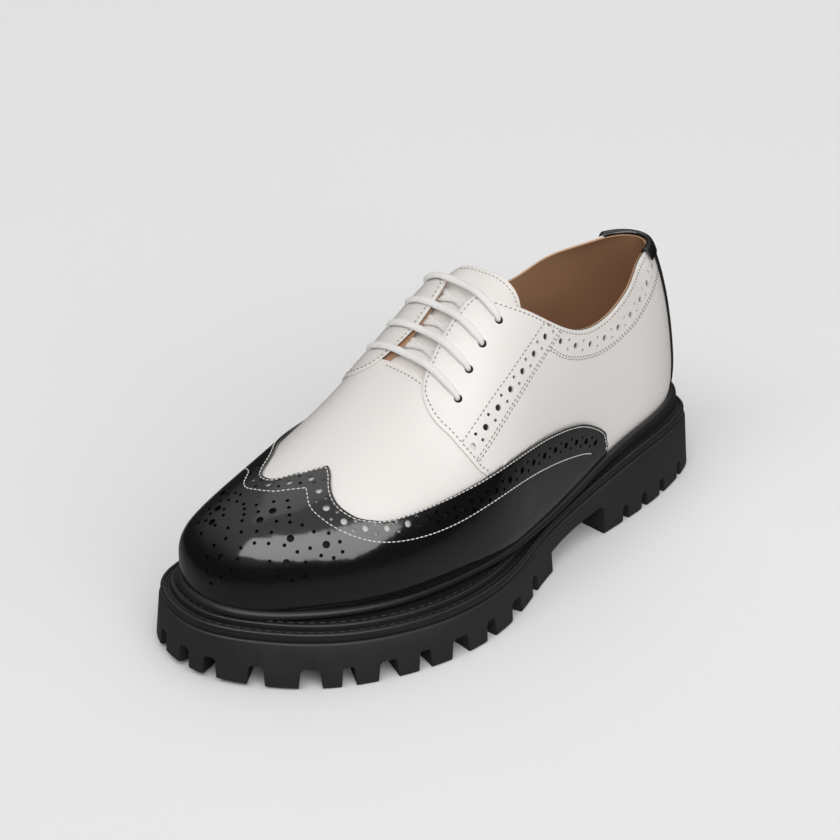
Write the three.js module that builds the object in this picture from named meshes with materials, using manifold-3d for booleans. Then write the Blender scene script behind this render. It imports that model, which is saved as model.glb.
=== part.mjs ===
// Spectator shoe, left foot: white quarters and vamp, black wing cap, chunky lugged sole.
// Millimetres, +Z up, toe towards -Y, lateral side of the foot towards +X, floor at z = 0.
import * as THREE from 'three';
import Module from 'manifold-3d';

const wasm = await Module();
wasm.setup();

// Driving dimensions
const LENGTH = 292;            // sole, heel to toe
const MIDDLE_X = -9.4;         // brings the middle of the sole's box over the origin
const MIDDLE_Y = -0.15;
const SOLE_WIDTH = 113;        // sole across the ball, at the floor
const LAST_WIDTH = 93;         // upper across the ball
const INSTEP = 133;            // height of the instep above the floor
const HEEL_EDGE = 27.5;        // height of the sole's moulded edge line at the heel
const FIT = 0.3;               // air between pieces that touch in the real shoe
const OVERLAY_FIT = 0.4;       // the same, below a curved overlay
const FLARE = 2;               // sole wall, how far it leans out on its way down
const TOE_SPRING = 2.5;        // lift of the sole's tip off the floor
const LEDGE_LOW = 4.2;         // top of the lower ledge above the edge line
const LEDGE_HIGH = 6.4;        // top of the upper ledge above the edge line
const LEDGE_INSET = 2.6;       // lower ledge, in from the floor outline
const STEP_INSET = 6.6;        // upper ledge, in from the floor outline
const SEAT = LEDGE_HIGH + FIT; // underside of the upper above the edge line
const RAND_WIDTH = 3.5;        // storm bead round the upper's foot
const RAND_HEIGHT = 3.7;
const WALL = 1.8;              // leather and lining of the upper
const QUARTER_STEP = 1.1;      // extra leather where the quarters lie on the vamp
const STEP_START = 0.43;       // place along the last where it begins to rise
const CAP_SKIN = 1.2;          // patent overlays
const TONGUE_SKIN = 2.2;
const INSOLE_THICK = 3.6;
const LACE_R = 1.6;
const EYELET_R = 2.4;
const LUG = 9.2;               // depth of the tread
const TUCK = 12;               // widest level of the upper above its foot
const UNDER = 24 * Math.PI / 180; // how far the section turns under, down to its foot

// Sole outline at the floor. station: share of LENGTH from the heel; rest: share of SOLE_WIDTH
const SOLE = [
  { station: 0, lateral: 0, medial: 0 },
  { station: 0.018, lateral: 0.186, medial: 0.177 },
  { station: 0.07, lateral: 0.274, medial: 0.257 },
  { station: 0.16, lateral: 0.336, medial: 0.31 },
  { station: 0.3, lateral: 0.376, medial: 0.296 },
  { station: 0.43, lateral: 0.43, medial: 0.285 },
  { station: 0.56, lateral: 0.56, medial: 0.335 },
  { station: 0.68, lateral: 0.598, medial: 0.402 },
  { station: 0.79, lateral: 0.536, medial: 0.434 },
  { station: 0.89, lateral: 0.4, medial: 0.407 },
  { station: 0.962, lateral: 0.204, medial: 0.327 },
  { station: 1, lateral: -0.055, medial: 0.055 },
];
// Moulded edge line, share of HEEL_EDGE
const EDGE_LINE = [
  { station: 0, height: 0.964 },
  { station: 0.2, height: 1 },
  { station: 0.4, height: 0.691 },
  { station: 0.6, height: 0.691 },
  { station: 0.8, height: 0.727 },
  { station: 1, height: 0.818 },
];
// Underside between the lugs, share of LUG, and the arch of the waist
const UNDERSIDE = [
  { station: 0, height: 0.87 },
  { station: 0.27, height: 0.87 },
  { station: 0.3, height: 1.6 },
  { station: 0.36, height: 1.4 },
  { station: 0.43, height: 1.1 },
  { station: 0.5, height: 1 },
  { station: 1, height: 1 },
];
// Sections of the upper. centre, lateral, medial: share of LAST_WIDTH; top: share of INSTEP;
// full_l, full_m: fullness of the lateral and medial side of the section
const LAST = [
  { station: 0.017, centre: -0.016, lateral: 0, medial: 0, top: 0.887, full_l: 2.7, full_m: 2.7 },
  { station: 0.045, centre: -0.016, lateral: 0.185, medial: 0.175, top: 0.887, full_l: 2.7, full_m: 2.7 },
  { station: 0.09, centre: -0.016, lateral: 0.269, medial: 0.255, top: 0.887, full_l: 2.7, full_m: 2.7 },
  { station: 0.15, centre: -0.016, lateral: 0.328, medial: 0.304, top: 0.91, full_l: 2.8, full_m: 2.8 },
  { station: 0.2, centre: -0.005, lateral: 0.347, medial: 0.316, top: 0.985, full_l: 2.8, full_m: 2.9 },
  { station: 0.27, centre: 0.022, lateral: 0.355, medial: 0.323, top: 1.075, full_l: 2.8, full_m: 3 },
  { station: 0.37, centre: 0.043, lateral: 0.398, medial: 0.355, top: 1.075, full_l: 2.6, full_m: 3 },
  { station: 0.47, centre: 0.054, lateral: 0.462, medial: 0.387, top: 1, full_l: 2.3, full_m: 3 },
  { station: 0.56, centre: 0.054, lateral: 0.527, medial: 0.43, top: 0.842, full_l: 2.2, full_m: 3 },
  { station: 0.64, centre: 0.054, lateral: 0.538, medial: 0.462, top: 0.707, full_l: 2.1, full_m: 2.9 },
  { station: 0.73, centre: 0.054, lateral: 0.505, medial: 0.462, top: 0.609, full_l: 2.2, full_m: 2.8 },
  { station: 0.82, centre: 0.022, lateral: 0.435, medial: 0.409, top: 0.538, full_l: 2.3, full_m: 2.6 },
  { station: 0.89, centre: -0.022, lateral: 0.339, medial: 0.333, top: 0.481, full_l: 2.4, full_m: 2.4 },
  { station: 0.935, centre: -0.054, lateral: 0.226, medial: 0.237, top: 0.414, full_l: 2.4, full_m: 2.4 },
  { station: 0.958, centre: -0.065, lateral: 0, medial: 0, top: 0.278, full_l: 2.4, full_m: 2.4 },
];
// Lean of the heel wall towards the toe, mm, by height above the upper's foot
const LEAN = [
  { height: 0, lean: 0 },
  { height: 12, lean: -1 },
  { height: 30, lean: 0 },
  { height: 50, lean: 3 },
  { height: 75, lean: 8 },
  { height: 110, lean: 16 },
];
// Topline seen from the side. height: share of INSTEP
const TOPLINE = [
  { station: -0.1, height: 0.842 },
  { station: 0.04, height: 0.842 },
  { station: 0.114, height: 0.842 },
  { station: 0.153, height: 0.823 },
  { station: 0.2, height: 0.8 },
  { station: 0.25, height: 0.777 },
  { station: 0.29, height: 0.772 },
  { station: 0.34, height: 0.797 },
  { station: 0.396, height: 0.871 },
  { station: 0.431, height: 0.926 },
  { station: 0.462, height: 0.964 },
  { station: 0.487, height: 0.99 },
];
// Edge of the wing cap: section angle in degrees from the lateral side, place along the last
const WING_EDGE = [
  { angle: -24, along: 0.347 }, { angle: -1, along: 0.345 }, { angle: 0.8, along: 0.35 },
  { angle: 3.6, along: 0.373 }, { angle: 7.2, along: 0.401 }, { angle: 10.8, along: 0.432 },
  { angle: 14.7, along: 0.468 }, { angle: 20, along: 0.521 }, { angle: 25, along: 0.568 },
  { angle: 30.9, along: 0.628 }, { angle: 34.8, along: 0.677 }, { angle: 40, along: 0.705 },
  { angle: 44.4, along: 0.717 }, { angle: 50.4, along: 0.725 }, { angle: 58.7, along: 0.729 },
  { angle: 66, along: 0.726 }, { angle: 74, along: 0.716 }, { angle: 80, along: 0.705 },
  { angle: 84, along: 0.7 }, { angle: 88, along: 0.716 }, { angle: 91, along: 0.732 },
  { angle: 94, along: 0.747 }, { angle: 99, along: 0.755 }, { angle: 105, along: 0.753 },
  { angle: 110, along: 0.742 }, { angle: 116, along: 0.718 }, { angle: 122, along: 0.702 },
  { angle: 128, along: 0.69 }, { angle: 135, along: 0.675 }, { angle: 142, along: 0.652 },
  { angle: 149, along: 0.62 }, { angle: 155, along: 0.575 }, { angle: 160, along: 0.521 },
  { angle: 165.3, along: 0.468 }, { angle: 169.2, along: 0.432 },
  { angle: 172.8, along: 0.401 }, { angle: 176.4, along: 0.373 }, { angle: 179.2, along: 0.35 },
  { angle: 181, along: 0.345 }, { angle: 204, along: 0.347 },
];
// Front seam of the quarters, from the wing's edge up to the facing
const QUARTER_EDGE = [
  { angle: 25.5, along: 0.5665 }, { angle: 30, along: 0.574 }, { angle: 36, along: 0.579 },
  { angle: 44, along: 0.5845 }, { angle: 51, along: 0.5875 }, { angle: 58, along: 0.591 },
  { angle: 64, along: 0.591 }, { angle: 69, along: 0.5885 }, { angle: 73, along: 0.585 },
  { angle: 77, along: 0.577 }, { angle: 80, along: 0.567 }, { angle: 82.5, along: 0.556 },
  { angle: 85, along: 0.54 },
];
// Opening between the facings, from above: y, half width. It ends at the vamp's straight seam
const THROAT_X = 5;
const THROAT = [
  { y: 40, half: 15 }, { y: 14, half: 12 }, { y: 6, half: 8.8 }, { y: 1, half: 7.4 },
  { y: -6, half: 6.8 }, { y: -14, half: 7.4 }, { y: -20, half: 8.6 }, { y: -25, half: 10.2 },
  { y: -27.5, half: 11.4 },
];
const EYELETS = [
  { along: 0.4945, angle: 63.1 },
  { along: 0.519, angle: 63.5 },
  { along: 0.541, angle: 62.3 },
  { along: 0.563, angle: 58.6 },
];
// Notches between the lugs, on both sides: station of the middle, width at the floor, mm
const NOTCHES = [
  { station: 0.904, width: 10 }, { station: 0.8585, width: 6.5 }, { station: 0.805, width: 9.5 },
  { station: 0.75, width: 6.5 }, { station: 0.689, width: 10 }, { station: 0.6255, width: 6.5 },
  { station: 0.557, width: 9.5 }, { station: 0.492, width: 6.5 },
  { station: 0.2354, width: 5 }, { station: 0.1858, width: 5 }, { station: 0.1339, width: 5 },
  { station: 0.0743, width: 5 }, { station: 0.957, width: 8 }, { station: 0.9915, width: 7 },
  { station: 0.0165, width: 5 },
];
const TOE_NOTCH = { station: 1, width: 7 };  // at the very tip
const NOTCH_REACH = 17;        // how far a notch runs in from the edge
const NOTCH_TOP = 0.76;        // width of a notch at its top, share of its width at the floor
const TREAD_RING = 24;         // width of the ring of lugs round the hollow tread
// Hollows of the tread between its cross bars, and the arch of the waist
const TREAD_GAPS = [
  { from: 0.12, to: 0.155 }, { from: 0.185, to: 0.225 }, { from: 0.47, to: 0.51 },
  { from: 0.55, to: 0.59 }, { from: 0.63, to: 0.67 }, { from: 0.71, to: 0.75 },
  { from: 0.79, to: 0.83 },
];
const WAIST = { from: 0.29, to: 0.43 };
// How far the tongue lies below the facings' lining, mm
const TONGUE_SINK = [
  { along: 0, sink: 1.2 }, { along: 0.44, sink: 1.2 }, { along: 0.475, sink: 3.4 },
  { along: 0.5, sink: 4.6 }, { along: 0.572, sink: 4.6 }, { along: 0.6, sink: 0.5 },
  { along: 1, sink: 0.5 },
];
const TONGUE_SIDE = 50;        // section angle of the tongue's edge
const TONGUE_TOP = 0.453;      // place of its top along the last
const TONGUE_FOOT = 0.612;     // place of its front end, under the vamp
const STRIP_HALF = 9.5;        // half width of the strip down the back
const TAB_REACH = 0.165;       // ends of the collar tab along the last
const TAB_DROP = 8;            // height of the tab's outer face

// Natural or flat-ended cubic spline through a table
function spline(xs, ys, flatStart = false, flatEnd = false) {
  const n = xs.length;
  const h = xs.slice(1).map((x, i) => x - xs[i]);
  const lower = new Array(n).fill(0);
  const diag = new Array(n).fill(1);
  const upper = new Array(n).fill(0);
  const rhs = new Array(n).fill(0);
  for (let i = 1; i < n - 1; i++) {
    lower[i] = h[i - 1];
    diag[i] = 2 * (h[i - 1] + h[i]);
    upper[i] = h[i];
    rhs[i] = 6 * ((ys[i + 1] - ys[i]) / h[i] - (ys[i] - ys[i - 1]) / h[i - 1]);
  }
  if (flatStart) {
    diag[0] = 2 * h[0];
    upper[0] = h[0];
    rhs[0] = 6 * (ys[1] - ys[0]) / h[0];
  }
  if (flatEnd) {
    diag[n - 1] = 2 * h[n - 2];
    lower[n - 1] = h[n - 2];
    rhs[n - 1] = -6 * (ys[n - 1] - ys[n - 2]) / h[n - 2];
  }
  for (let i = 1; i < n; i++) {
    const w = lower[i] / diag[i - 1];
    diag[i] -= w * upper[i - 1];
    rhs[i] -= w * rhs[i - 1];
  }
  const m = new Array(n).fill(0);
  m[n - 1] = rhs[n - 1] / diag[n - 1];
  for (let i = n - 2; i >= 0; i--) m[i] = (rhs[i] - upper[i] * m[i + 1]) / diag[i];
  return (x) => {
    const q = Math.min(Math.max(x, xs[0]), xs[n - 1]);
    let i = 0;
    while (i < n - 2 && q > xs[i + 1]) i++;
    const a = (xs[i + 1] - q) / h[i];
    const b = (q - xs[i]) / h[i];
    return a * ys[i] + b * ys[i + 1] + ((a ** 3 - a) * m[i] + (b ** 3 - b) * m[i + 1]) * h[i] ** 2 / 6;
  };
}
function linear(xs, ys) {
  return (x) => {
    if (x <= xs[0]) return ys[0];
    for (let i = 1; i < xs.length; i++) {
      if (x <= xs[i]) return ys[i - 1] + (ys[i] - ys[i - 1]) * (x - xs[i - 1]) / (xs[i] - xs[i - 1]);
    }
    return ys[ys.length - 1];
  };
}
const column = (table, key) => table.map((row) => row[key]);
const along = (share) => Math.acos(1 - 2 * Math.min(Math.max(share, 0), 1)) / Math.PI;
const share = (u) => (1 - Math.cos(Math.PI * u)) / 2;
const yAt = (station) => LENGTH / 2 - station * LENGTH;
const stationAt = (y) => (LENGTH / 2 - y) / LENGTH;

// Sole
const soleU = column(SOLE, 'station').map(along);
const soleLateral = spline(soleU, column(SOLE, 'lateral'));
const soleMedial = spline(soleU, column(SOLE, 'medial'));
const edgeLine = spline(column(EDGE_LINE, 'station'), column(EDGE_LINE, 'height'), true, true);
const edgeZ = (y) => HEEL_EDGE * edgeLine(stationAt(y));
const underLine = linear(column(UNDERSIDE, 'station'), column(UNDERSIDE, 'height'));
const spring = (y) => TOE_SPRING * Math.max(0, (stationAt(y) - 0.84) / 0.16) ** 2;

// A point of the sole's outline moved in by `inset`; side +1 lateral, -1 medial
function outlinePoint(u, side, inset) {
  const at = (q) => {
    const k = Math.min(Math.max(q, 0), 1);
    const w = side > 0 ? soleLateral(k) : -soleMedial(k);
    return [w * SOLE_WIDTH, yAt(share(k))];
  };
  if (u < 1e-6 || u > 1 - 1e-6) {
    const p = at(u);
    return [p[0], p[1] + (u < 0.5 ? -inset : inset)];
  }
  const a = at(u - 0.004);
  const b = at(u + 0.004);
  const p = at(u);
  const len = Math.hypot(b[0] - a[0], b[1] - a[1]);
  const nx = -(b[1] - a[1]) / len * side;
  const ny = (b[0] - a[0]) / len * side;
  return [p[0] - inset * nx, p[1] - inset * ny];
}
const SOLE_STEPS = 26;
function soleRing(inset) {
  const ring = [];
  for (let i = 0; i <= SOLE_STEPS; i++) ring.push(outlinePoint(i / SOLE_STEPS, 1, inset));
  for (let i = SOLE_STEPS - 1; i > 0; i--) ring.push(outlinePoint(i / SOLE_STEPS, -1, inset));
  return ring;
}

// Triangle soup to a solid
function solidFrom(points, faces) {
  const keyOf = (p) => p.map((c) => Math.round(c * 1e4)).join(',');
  const index = new Map();
  const remap = points.map((p) => {
    const key = keyOf(p);
    if (!index.has(key)) index.set(key, index.size);
    return index.get(key);
  });
  const verts = new Float32Array(index.size * 3);
  points.forEach((p, i) => verts.set(p, remap[i] * 3));
  const tris = [];
  for (const [a, b, c] of faces) {
    const [p, q, r] = [remap[a], remap[b], remap[c]];
    if (p !== q && q !== r && p !== r) tris.push(p, q, r);
  }
  const mesh = new wasm.Mesh({ numProp: 3, vertProperties: verts, triVerts: new Uint32Array(tris) });
  const solid = new wasm.Manifold(mesh);
  return solid.volume() < 0 ? flipped(points, faces) : solid;
}
function flipped(points, faces) {
  return solidFrom(points, faces.map(([a, b, c]) => [a, c, b]));
}
const quad = (faces, a, b, c, d) => faces.push([a, b, c], [a, c, d]);

// Closed stack of rings; every ring is a list of [x, y, z] in the order of soleRing
function stack(rings) {
  const n = rings[0].length;
  const points = rings.flat();
  const faces = [];
  for (let r = 0; r + 1 < rings.length; r++) {
    for (let i = 0; i < n; i++) {
      const j = (i + 1) % n;
      quad(faces, r * n + i, r * n + j, (r + 1) * n + j, (r + 1) * n + i);
    }
  }
  const top = (rings.length - 1) * n;
  for (let i = 0; i < n / 2; i++) {
    const a = i;
    const b = i + 1;
    const c = (n - i - 1) % n;
    const d = (n - i) % n;
    quad(faces, a, d, c, b);
    quad(faces, top + a, top + b, top + c, top + d);
  }
  return solidFrom(points, faces);
}
const raised = (inset, height) => soleRing(inset).map(([x, y]) => [x, y, height(y)]);

// Upper
const S0 = LAST[0].station;
const S1 = LAST[LAST.length - 1].station;
const lastV = column(LAST, 'station').map((s) => along((s - S0) / (S1 - S0)));
const lastOf = (key, a, b) => spline(lastV, column(LAST, key), a, b);
const centreOf = lastOf('centre', true, true);
const lateralOf = lastOf('lateral', false, false);
const medialOf = lastOf('medial', false, false);
const topOf = lastOf('top', true, false);
const fullL = lastOf('full_l', true, true);
const fullM = lastOf('full_m', true, true);
const leanOf = spline(column(LEAN, 'height'), column(LEAN, 'lean'));
const footZ = (y) => edgeZ(y) + SEAT;
const topline = spline(column(TOPLINE, 'station'), column(TOPLINE, 'height'));
const stationOf = (v) => S0 + (S1 - S0) * share(v);

function lastPoint(v, th) {
  const station = stationOf(v);
  const y = yAt(station);
  const c0 = Math.cos(th);
  const q0 = Math.sin(th);
  const full = c0 >= 0 ? fullL(v) : fullM(v);
  const c = Math.sign(c0) * Math.abs(c0) ** (2 / full);
  const base = footZ(y);
  const high = topOf(v) * INSTEP - base;
  const tuck = Math.min(TUCK, high * 0.45);
  const rise = q0 >= 0
    ? (high - tuck) * q0 ** (2 / full)
    : -tuck * Math.abs(q0) / Math.sin(UNDER);
  const z = base + tuck + rise;
  const half = (c0 >= 0 ? lateralOf(v) : medialOf(v)) * LAST_WIDTH;
  const nearHeel = Math.max(0, 1 - (station - S0) / 0.25) ** 2;
  const lean = leanOf(Math.max(0, z - base));
  return [centreOf(v) * LAST_WIDTH + half * c, y - nearHeel * lean, z];
}
function rawNormal(v, th) {
  const k = Math.min(Math.max(v, 0.012), 0.988);
  const a = lastPoint(k - 0.002, th);
  const b = lastPoint(k + 0.002, th);
  const e = th < 0.03 && th > -0.03 ? 0.03 : 0.004;
  const c = lastPoint(k, th - e);
  const d = lastPoint(k, th + e);
  const u = new THREE.Vector3(b[0] - a[0], b[1] - a[1], b[2] - a[2]);
  const w = new THREE.Vector3(d[0] - c[0], d[1] - c[1], d[2] - c[2]);
  return u.cross(w).normalize().negate();
}
function lastNormal(v, th) {
  if (v > 1e-6 && v < 1 - 1e-6) return rawNormal(v, th);
  return rawNormal(v, th).add(rawNormal(v, Math.PI - th)).normalize();
}
function offsetPoint(v, th, out) {
  const p = lastPoint(v, th);
  const n = lastNormal(v, th);
  return [p[0] + n.x * out, p[1] + n.y * out, p[2] + n.z * out];
}
const rad = (deg) => deg * Math.PI / 180;

// Closed patch between two offsets of the last. at(i, j) gives [v, angle];
// open lists the sides that meet their mirror image instead of a rim: 'i0' or 'i1'
function patch(ni, nj, at, outer, inner, open = []) {
  const points = [];
  for (const level of [outer, inner]) {
    for (let i = 0; i <= ni; i++) {
      for (let j = 0; j <= nj; j++) {
        const [v, th] = at(i / ni, j / nj);
        points.push(offsetPoint(v, th, level(i / ni, j / nj)));
      }
    }
  }
  const id = (level, i, j) => level * (ni + 1) * (nj + 1) + i * (nj + 1) + j;
  const faces = [];
  for (let i = 0; i < ni; i++) {
    for (let j = 0; j < nj; j++) {
      quad(faces, id(0, i, j), id(0, i, j + 1), id(0, i + 1, j + 1), id(0, i + 1, j));
      quad(faces, id(1, i, j), id(1, i + 1, j), id(1, i + 1, j + 1), id(1, i, j + 1));
    }
  }
  for (let i = 0; i < ni; i++) {
    quad(faces, id(0, i, 0), id(0, i + 1, 0), id(1, i + 1, 0), id(1, i, 0));
    quad(faces, id(0, i, nj), id(1, i, nj), id(1, i + 1, nj), id(0, i + 1, nj));
  }
  for (let j = 0; j < nj; j++) {
    if (!open.includes('i0')) quad(faces, id(0, 0, j), id(1, 0, j), id(1, 0, j + 1), id(0, 0, j + 1));
    if (!open.includes('i1')) {
      quad(faces, id(0, ni, j), id(0, ni, j + 1), id(1, ni, j + 1), id(1, ni, j));
    }
  }
  return solidFrom(points, faces);
}
const level = (value) => () => value;

const HALF_ANGLES = [-24, -10, 0, 5, 12, 22, 34, 48, 62, 76, 90];
const ANGLES = [...HALF_ANGLES, ...HALF_ANGLES.slice(0, -1).reverse().map((a) => 180 - a)];
const angleAt = (f) => rad(ANGLES[Math.round(f * (ANGLES.length - 1))]);
const LAST_STEPS = 26;

// A prism: polygon points [a, b] turned into 3-D by `put(a, b, k)`, k = 0 and 1 for its two ends
function prism(outline, put) {
  const turned = THREE.ShapeUtils.area(outline.map(([a, b]) => new THREE.Vector2(a, b))) < 0;
  const polygon = turned ? [...outline].reverse() : outline;
  const n = polygon.length;
  const points = [0, 1].flatMap((k) => polygon.map(([a, b]) => put(a, b, k)));
  const flat = polygon.map(([a, b]) => new THREE.Vector2(a, b));
  const faces = [];
  for (const [a, b, c] of THREE.ShapeUtils.triangulateShape(flat, [])) {
    faces.push([a, b, c], [n + a, n + c, n + b]);
  }
  for (let i = 0; i < n; i++) {
    const j = (i + 1) % n;
    quad(faces, i, n + i, n + j, j);
  }
  return solidFrom(points, faces);
}

// Round bar along a list of points
function tube(path, radius, sides = 6) {
  const pts = path.map((p) => new THREE.Vector3(...p));
  const points = [];
  let ref = new THREE.Vector3(0, 0, 1);
  pts.forEach((p, i) => {
    const t = pts[Math.min(i + 1, pts.length - 1)].clone().sub(pts[Math.max(i - 1, 0)]).normalize();
    const a = ref.clone().sub(t.clone().multiplyScalar(ref.dot(t))).normalize();
    const b = t.clone().cross(a);
    ref = a;
    for (let k = 0; k < sides; k++) {
      const w = 2 * Math.PI * k / sides;
      const q = p.clone().addScaledVector(a, radius * Math.cos(w)).addScaledVector(b, radius * Math.sin(w));
      points.push(q.toArray());
    }
  });
  const faces = [];
  for (let i = 0; i + 1 < pts.length; i++) {
    for (let k = 0; k < sides; k++) {
      const l = (k + 1) % sides;
      quad(faces, i * sides + k, i * sides + l, (i + 1) * sides + l, (i + 1) * sides + k);
    }
  }
  const end = (pts.length - 1) * sides;
  for (let k = 1; k + 1 < sides; k++) faces.push([0, k + 1, k], [end, end + k, end + k + 1]);
  return solidFrom(points, faces);
}

// Lugged outsole with its heel block
function makeOutsole() {
  const rings = [
    raised(1.2, spring),
    raised(0, (y) => spring(y) + 1),
    raised(FLARE * 0.9, (y) => edgeZ(y) - 1),
    raised(FLARE + 0.6, edgeZ),
  ];
  let sole = stack(rings).subtract(waistArch());
  for (const { station, width } of NOTCHES) {
    sole = sole.subtract(notch(along(station), 1, width));
    sole = sole.subtract(notch(along(station), -1, width));
  }
  sole = sole.subtract(notch(TOE_NOTCH.station, 1, TOE_NOTCH.width));
  for (const gap of TREAD_GAPS) sole = sole.subtract(treadHollow(gap));
  return sole;
}
const BELOW = -5;              // cuts start this far below the floor
const underside = (y) => spring(y) + LUG * underLine(stationAt(y));
// Body under the arch of the waist, right across the sole
function waistArch() {
  const steps = 8;
  const arch = [];
  for (let i = 0; i <= steps; i++) {
    const y = yAt(WAIST.from + (WAIST.to - WAIST.from) * i / steps);
    arch.push([y, underside(y)]);
  }
  const polygon = [...arch, [yAt(WAIST.to), BELOW], [yAt(WAIST.from), BELOW]];
  return prism(polygon, (a, b, k) => [k ? SOLE_WIDTH : -SOLE_WIDTH, a, b]);
}
// Hollow of the tread inside the ring of lugs
function treadHollow({ from, to }) {
  const left = [];
  const right = [];
  for (let i = 0; i <= 2; i++) {
    const u = along(from + (to - from) * i / 2);
    right.push(outlinePoint(u, 1, TREAD_RING));
    left.push(outlinePoint(u, -1, TREAD_RING));
  }
  const top = underside(yAt((from + to) / 2));
  return prism([...right, ...left.reverse()], (a, b, k) => [a, b, k ? top : BELOW]);
}
// Tapered notch at the outline, narrower at its top
function notch(u, side, width) {
  const [x, y] = outlinePoint(u, side, 0);
  const [xi, yi] = outlinePoint(u, side, 1);
  const out = new THREE.Vector2(x - xi, y - yi).normalize();
  const tangent = new THREE.Vector2(-out.y, out.x);
  const low = width / 2;
  const high = low * NOTCH_TOP;
  const top = underside(y);
  const polygon = [[-low, BELOW], [low, BELOW], [low, 1], [high, top], [-high, top], [-low, 1]];
  return prism(polygon, (a, b, k) => {
    const r = k ? 6 : -NOTCH_REACH;
    return [x + tangent.x * a + out.x * r, y + tangent.y * a + out.y * r, b];
  });
}

// Ledge with its two stitched steps
function makeMidsole() {
  const up = (h) => (y) => edgeZ(y) + h;
  return stack([
    raised(LEDGE_INSET, up(FIT)),
    raised(LEDGE_INSET, up(LEDGE_LOW - 0.6)),
    raised(LEDGE_INSET + 0.7, up(LEDGE_LOW)),
    raised(STEP_INSET - 0.2, up(LEDGE_LOW)),
    raised(STEP_INSET, up(LEDGE_HIGH - 0.6)),
    raised(STEP_INSET + 0.7, up(LEDGE_HIGH)),
  ]);
}

// Storm bead round the foot of the upper: section swept round the last
function makeRand() {
  const section = [
    [FIT + 0.1, 0], [RAND_WIDTH, 0], [RAND_WIDTH + 0.4, 1], [RAND_WIDTH + 0.2, RAND_HEIGHT - 1.1],
    [RAND_WIDTH - 0.9, RAND_HEIGHT], [FIT + 0.3, RAND_HEIGHT - 0.3],
  ];
  const loop = [];
  for (let i = 0; i <= LAST_STEPS; i++) loop.push([i / LAST_STEPS, 1]);
  for (let i = LAST_STEPS - 1; i > 0; i--) loop.push([i / LAST_STEPS, -1]);
  const points = [];
  for (const [v, side] of loop) {
    const th = side > 0 ? -UNDER : Math.PI + UNDER;
    const foot = lastPoint(v, th);
    const n = lastNormal(v, side > 0 ? 0 : Math.PI);
    const flat = new THREE.Vector2(n.x, n.y).normalize();
    for (const [out, up] of section) {
      const q = wallAt(v, side, up);
      points.push([q[0] + flat.x * out, q[1] + flat.y * out, foot[2] + up]);
    }
  }
  const m = section.length;
  const count = loop.length;
  const faces = [];
  for (let i = 0; i < count; i++) {
    const next = (i + 1) % count;
    for (let k = 0; k < m; k++) {
      const l = (k + 1) % m;
      quad(faces, i * m + k, i * m + l, next * m + l, next * m + k);
    }
  }
  return solidFrom(points, faces);
}
// Point of the upper's wall `up` above its foot
function wallAt(v, side, up) {
  const station = stationOf(v);
  const high = topOf(v) * INSTEP - footZ(yAt(station));
  const tuck = Math.min(TUCK, high * 0.45);
  const sunk = Math.max(0, 1 - up / tuck);
  const th = -Math.asin(sunk * Math.sin(UNDER));
  return lastPoint(v, side > 0 ? th : Math.PI - th);
}

const OVERHEAD = 220;          // cuts from above start here
// Hollow upper: vamp and quarters with lining, open at collar, throat and underneath
function makeUpper() {
  const shell = (f, g) => [f, angleAt(g)];
  let upper = patch(LAST_STEPS, ANGLES.length - 1, shell, level(0), level(-WALL), ['i0', 'i1']);
  const wing = wingRegion(0.004);
  for (const side of [1, -1]) upper = upper.add(quarterStep(side).subtract(wing));
  const polygon = [];
  const first = TOPLINE[0].station;
  const last = TOPLINE[TOPLINE.length - 1].station;
  const steps = 30;
  for (let i = 0; i <= steps; i++) {
    const s = first + (last - first) * i / steps;
    polygon.push([yAt(s), INSTEP * topline(s)]);
  }
  polygon.push([yAt(last), OVERHEAD], [yAt(first), OVERHEAD]);
  upper = upper.subtract(prism(polygon, (a, b, k) => [k ? SOLE_WIDTH : -SOLE_WIDTH, a, b]));
  const slot = [...THROAT.map(({ y, half }) => [THROAT_X + half, y]),
    ...[...THROAT].reverse().map(({ y, half }) => [THROAT_X - half, y])];
  upper = upper.subtract(prism(slot, (a, b, k) => [a, b, k ? OVERHEAD : INSTEP / 2]));
  for (const { along: v, angle } of EYELETS) {
    for (const th of [rad(angle), Math.PI - rad(angle)]) {
      const hole = [offsetPoint(v, th, -6), offsetPoint(v, th, 6)];
      upper = upper.subtract(tube(hole, EYELET_R, 8));
    }
  }
  return upper;
}
function quarterStep(side) {
  const edge = linear(column(QUARTER_EDGE, 'angle'), column(QUARTER_EDGE, 'along'));
  const degrees = column(QUARTER_EDGE, 'angle');
  const at = (f, g) => {
    const deg = degrees[Math.round(g * (degrees.length - 1))];
    const th = rad(deg);
    return [STEP_START + (edge(deg) - STEP_START) * f, side > 0 ? th : Math.PI - th];
  };
  const rise = (f) => -0.15 + (QUARTER_STEP + 0.15) * Math.min(1, f / 0.6);
  return patch(5, degrees.length - 1, at, rise, level(-WALL / 2));
}

// Black wing cap round the toe, with its long arms: a skin over the upper, cut along the wing's edge
function wingRegion(grow) {
  const edge = linear(column(WING_EDGE, 'angle'), column(WING_EDGE, 'along'));
  const halves = column(WING_EDGE, 'angle').map((deg) => Number(Math.min(deg, 180 - deg).toFixed(1)));
  const half = [...new Set(halves)].sort((a, b) => a - b);
  const degrees = [...half, ...half.map((deg) => 180 - deg).reverse()];
  const at = (f, g) => {
    const deg = degrees[Math.round(g * (degrees.length - 1))];
    const from = edge(deg) - grow;
    return [from + (1 - from) * f, rad(deg)];
  };
  return patch(6, degrees.length - 1, at, level(5), level(-6), ['i1']);
}
function makeWingCap() {
  const last = ANGLES.length - 1;
  const skin = patch(LAST_STEPS, last, (f, g) => [f, angleAt(g)],
    level(OVERLAY_FIT + CAP_SKIN), level(OVERLAY_FIT), ['i0', 'i1']);
  return skin.intersect(wingRegion(0)).subtract(randRoom());
}
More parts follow.
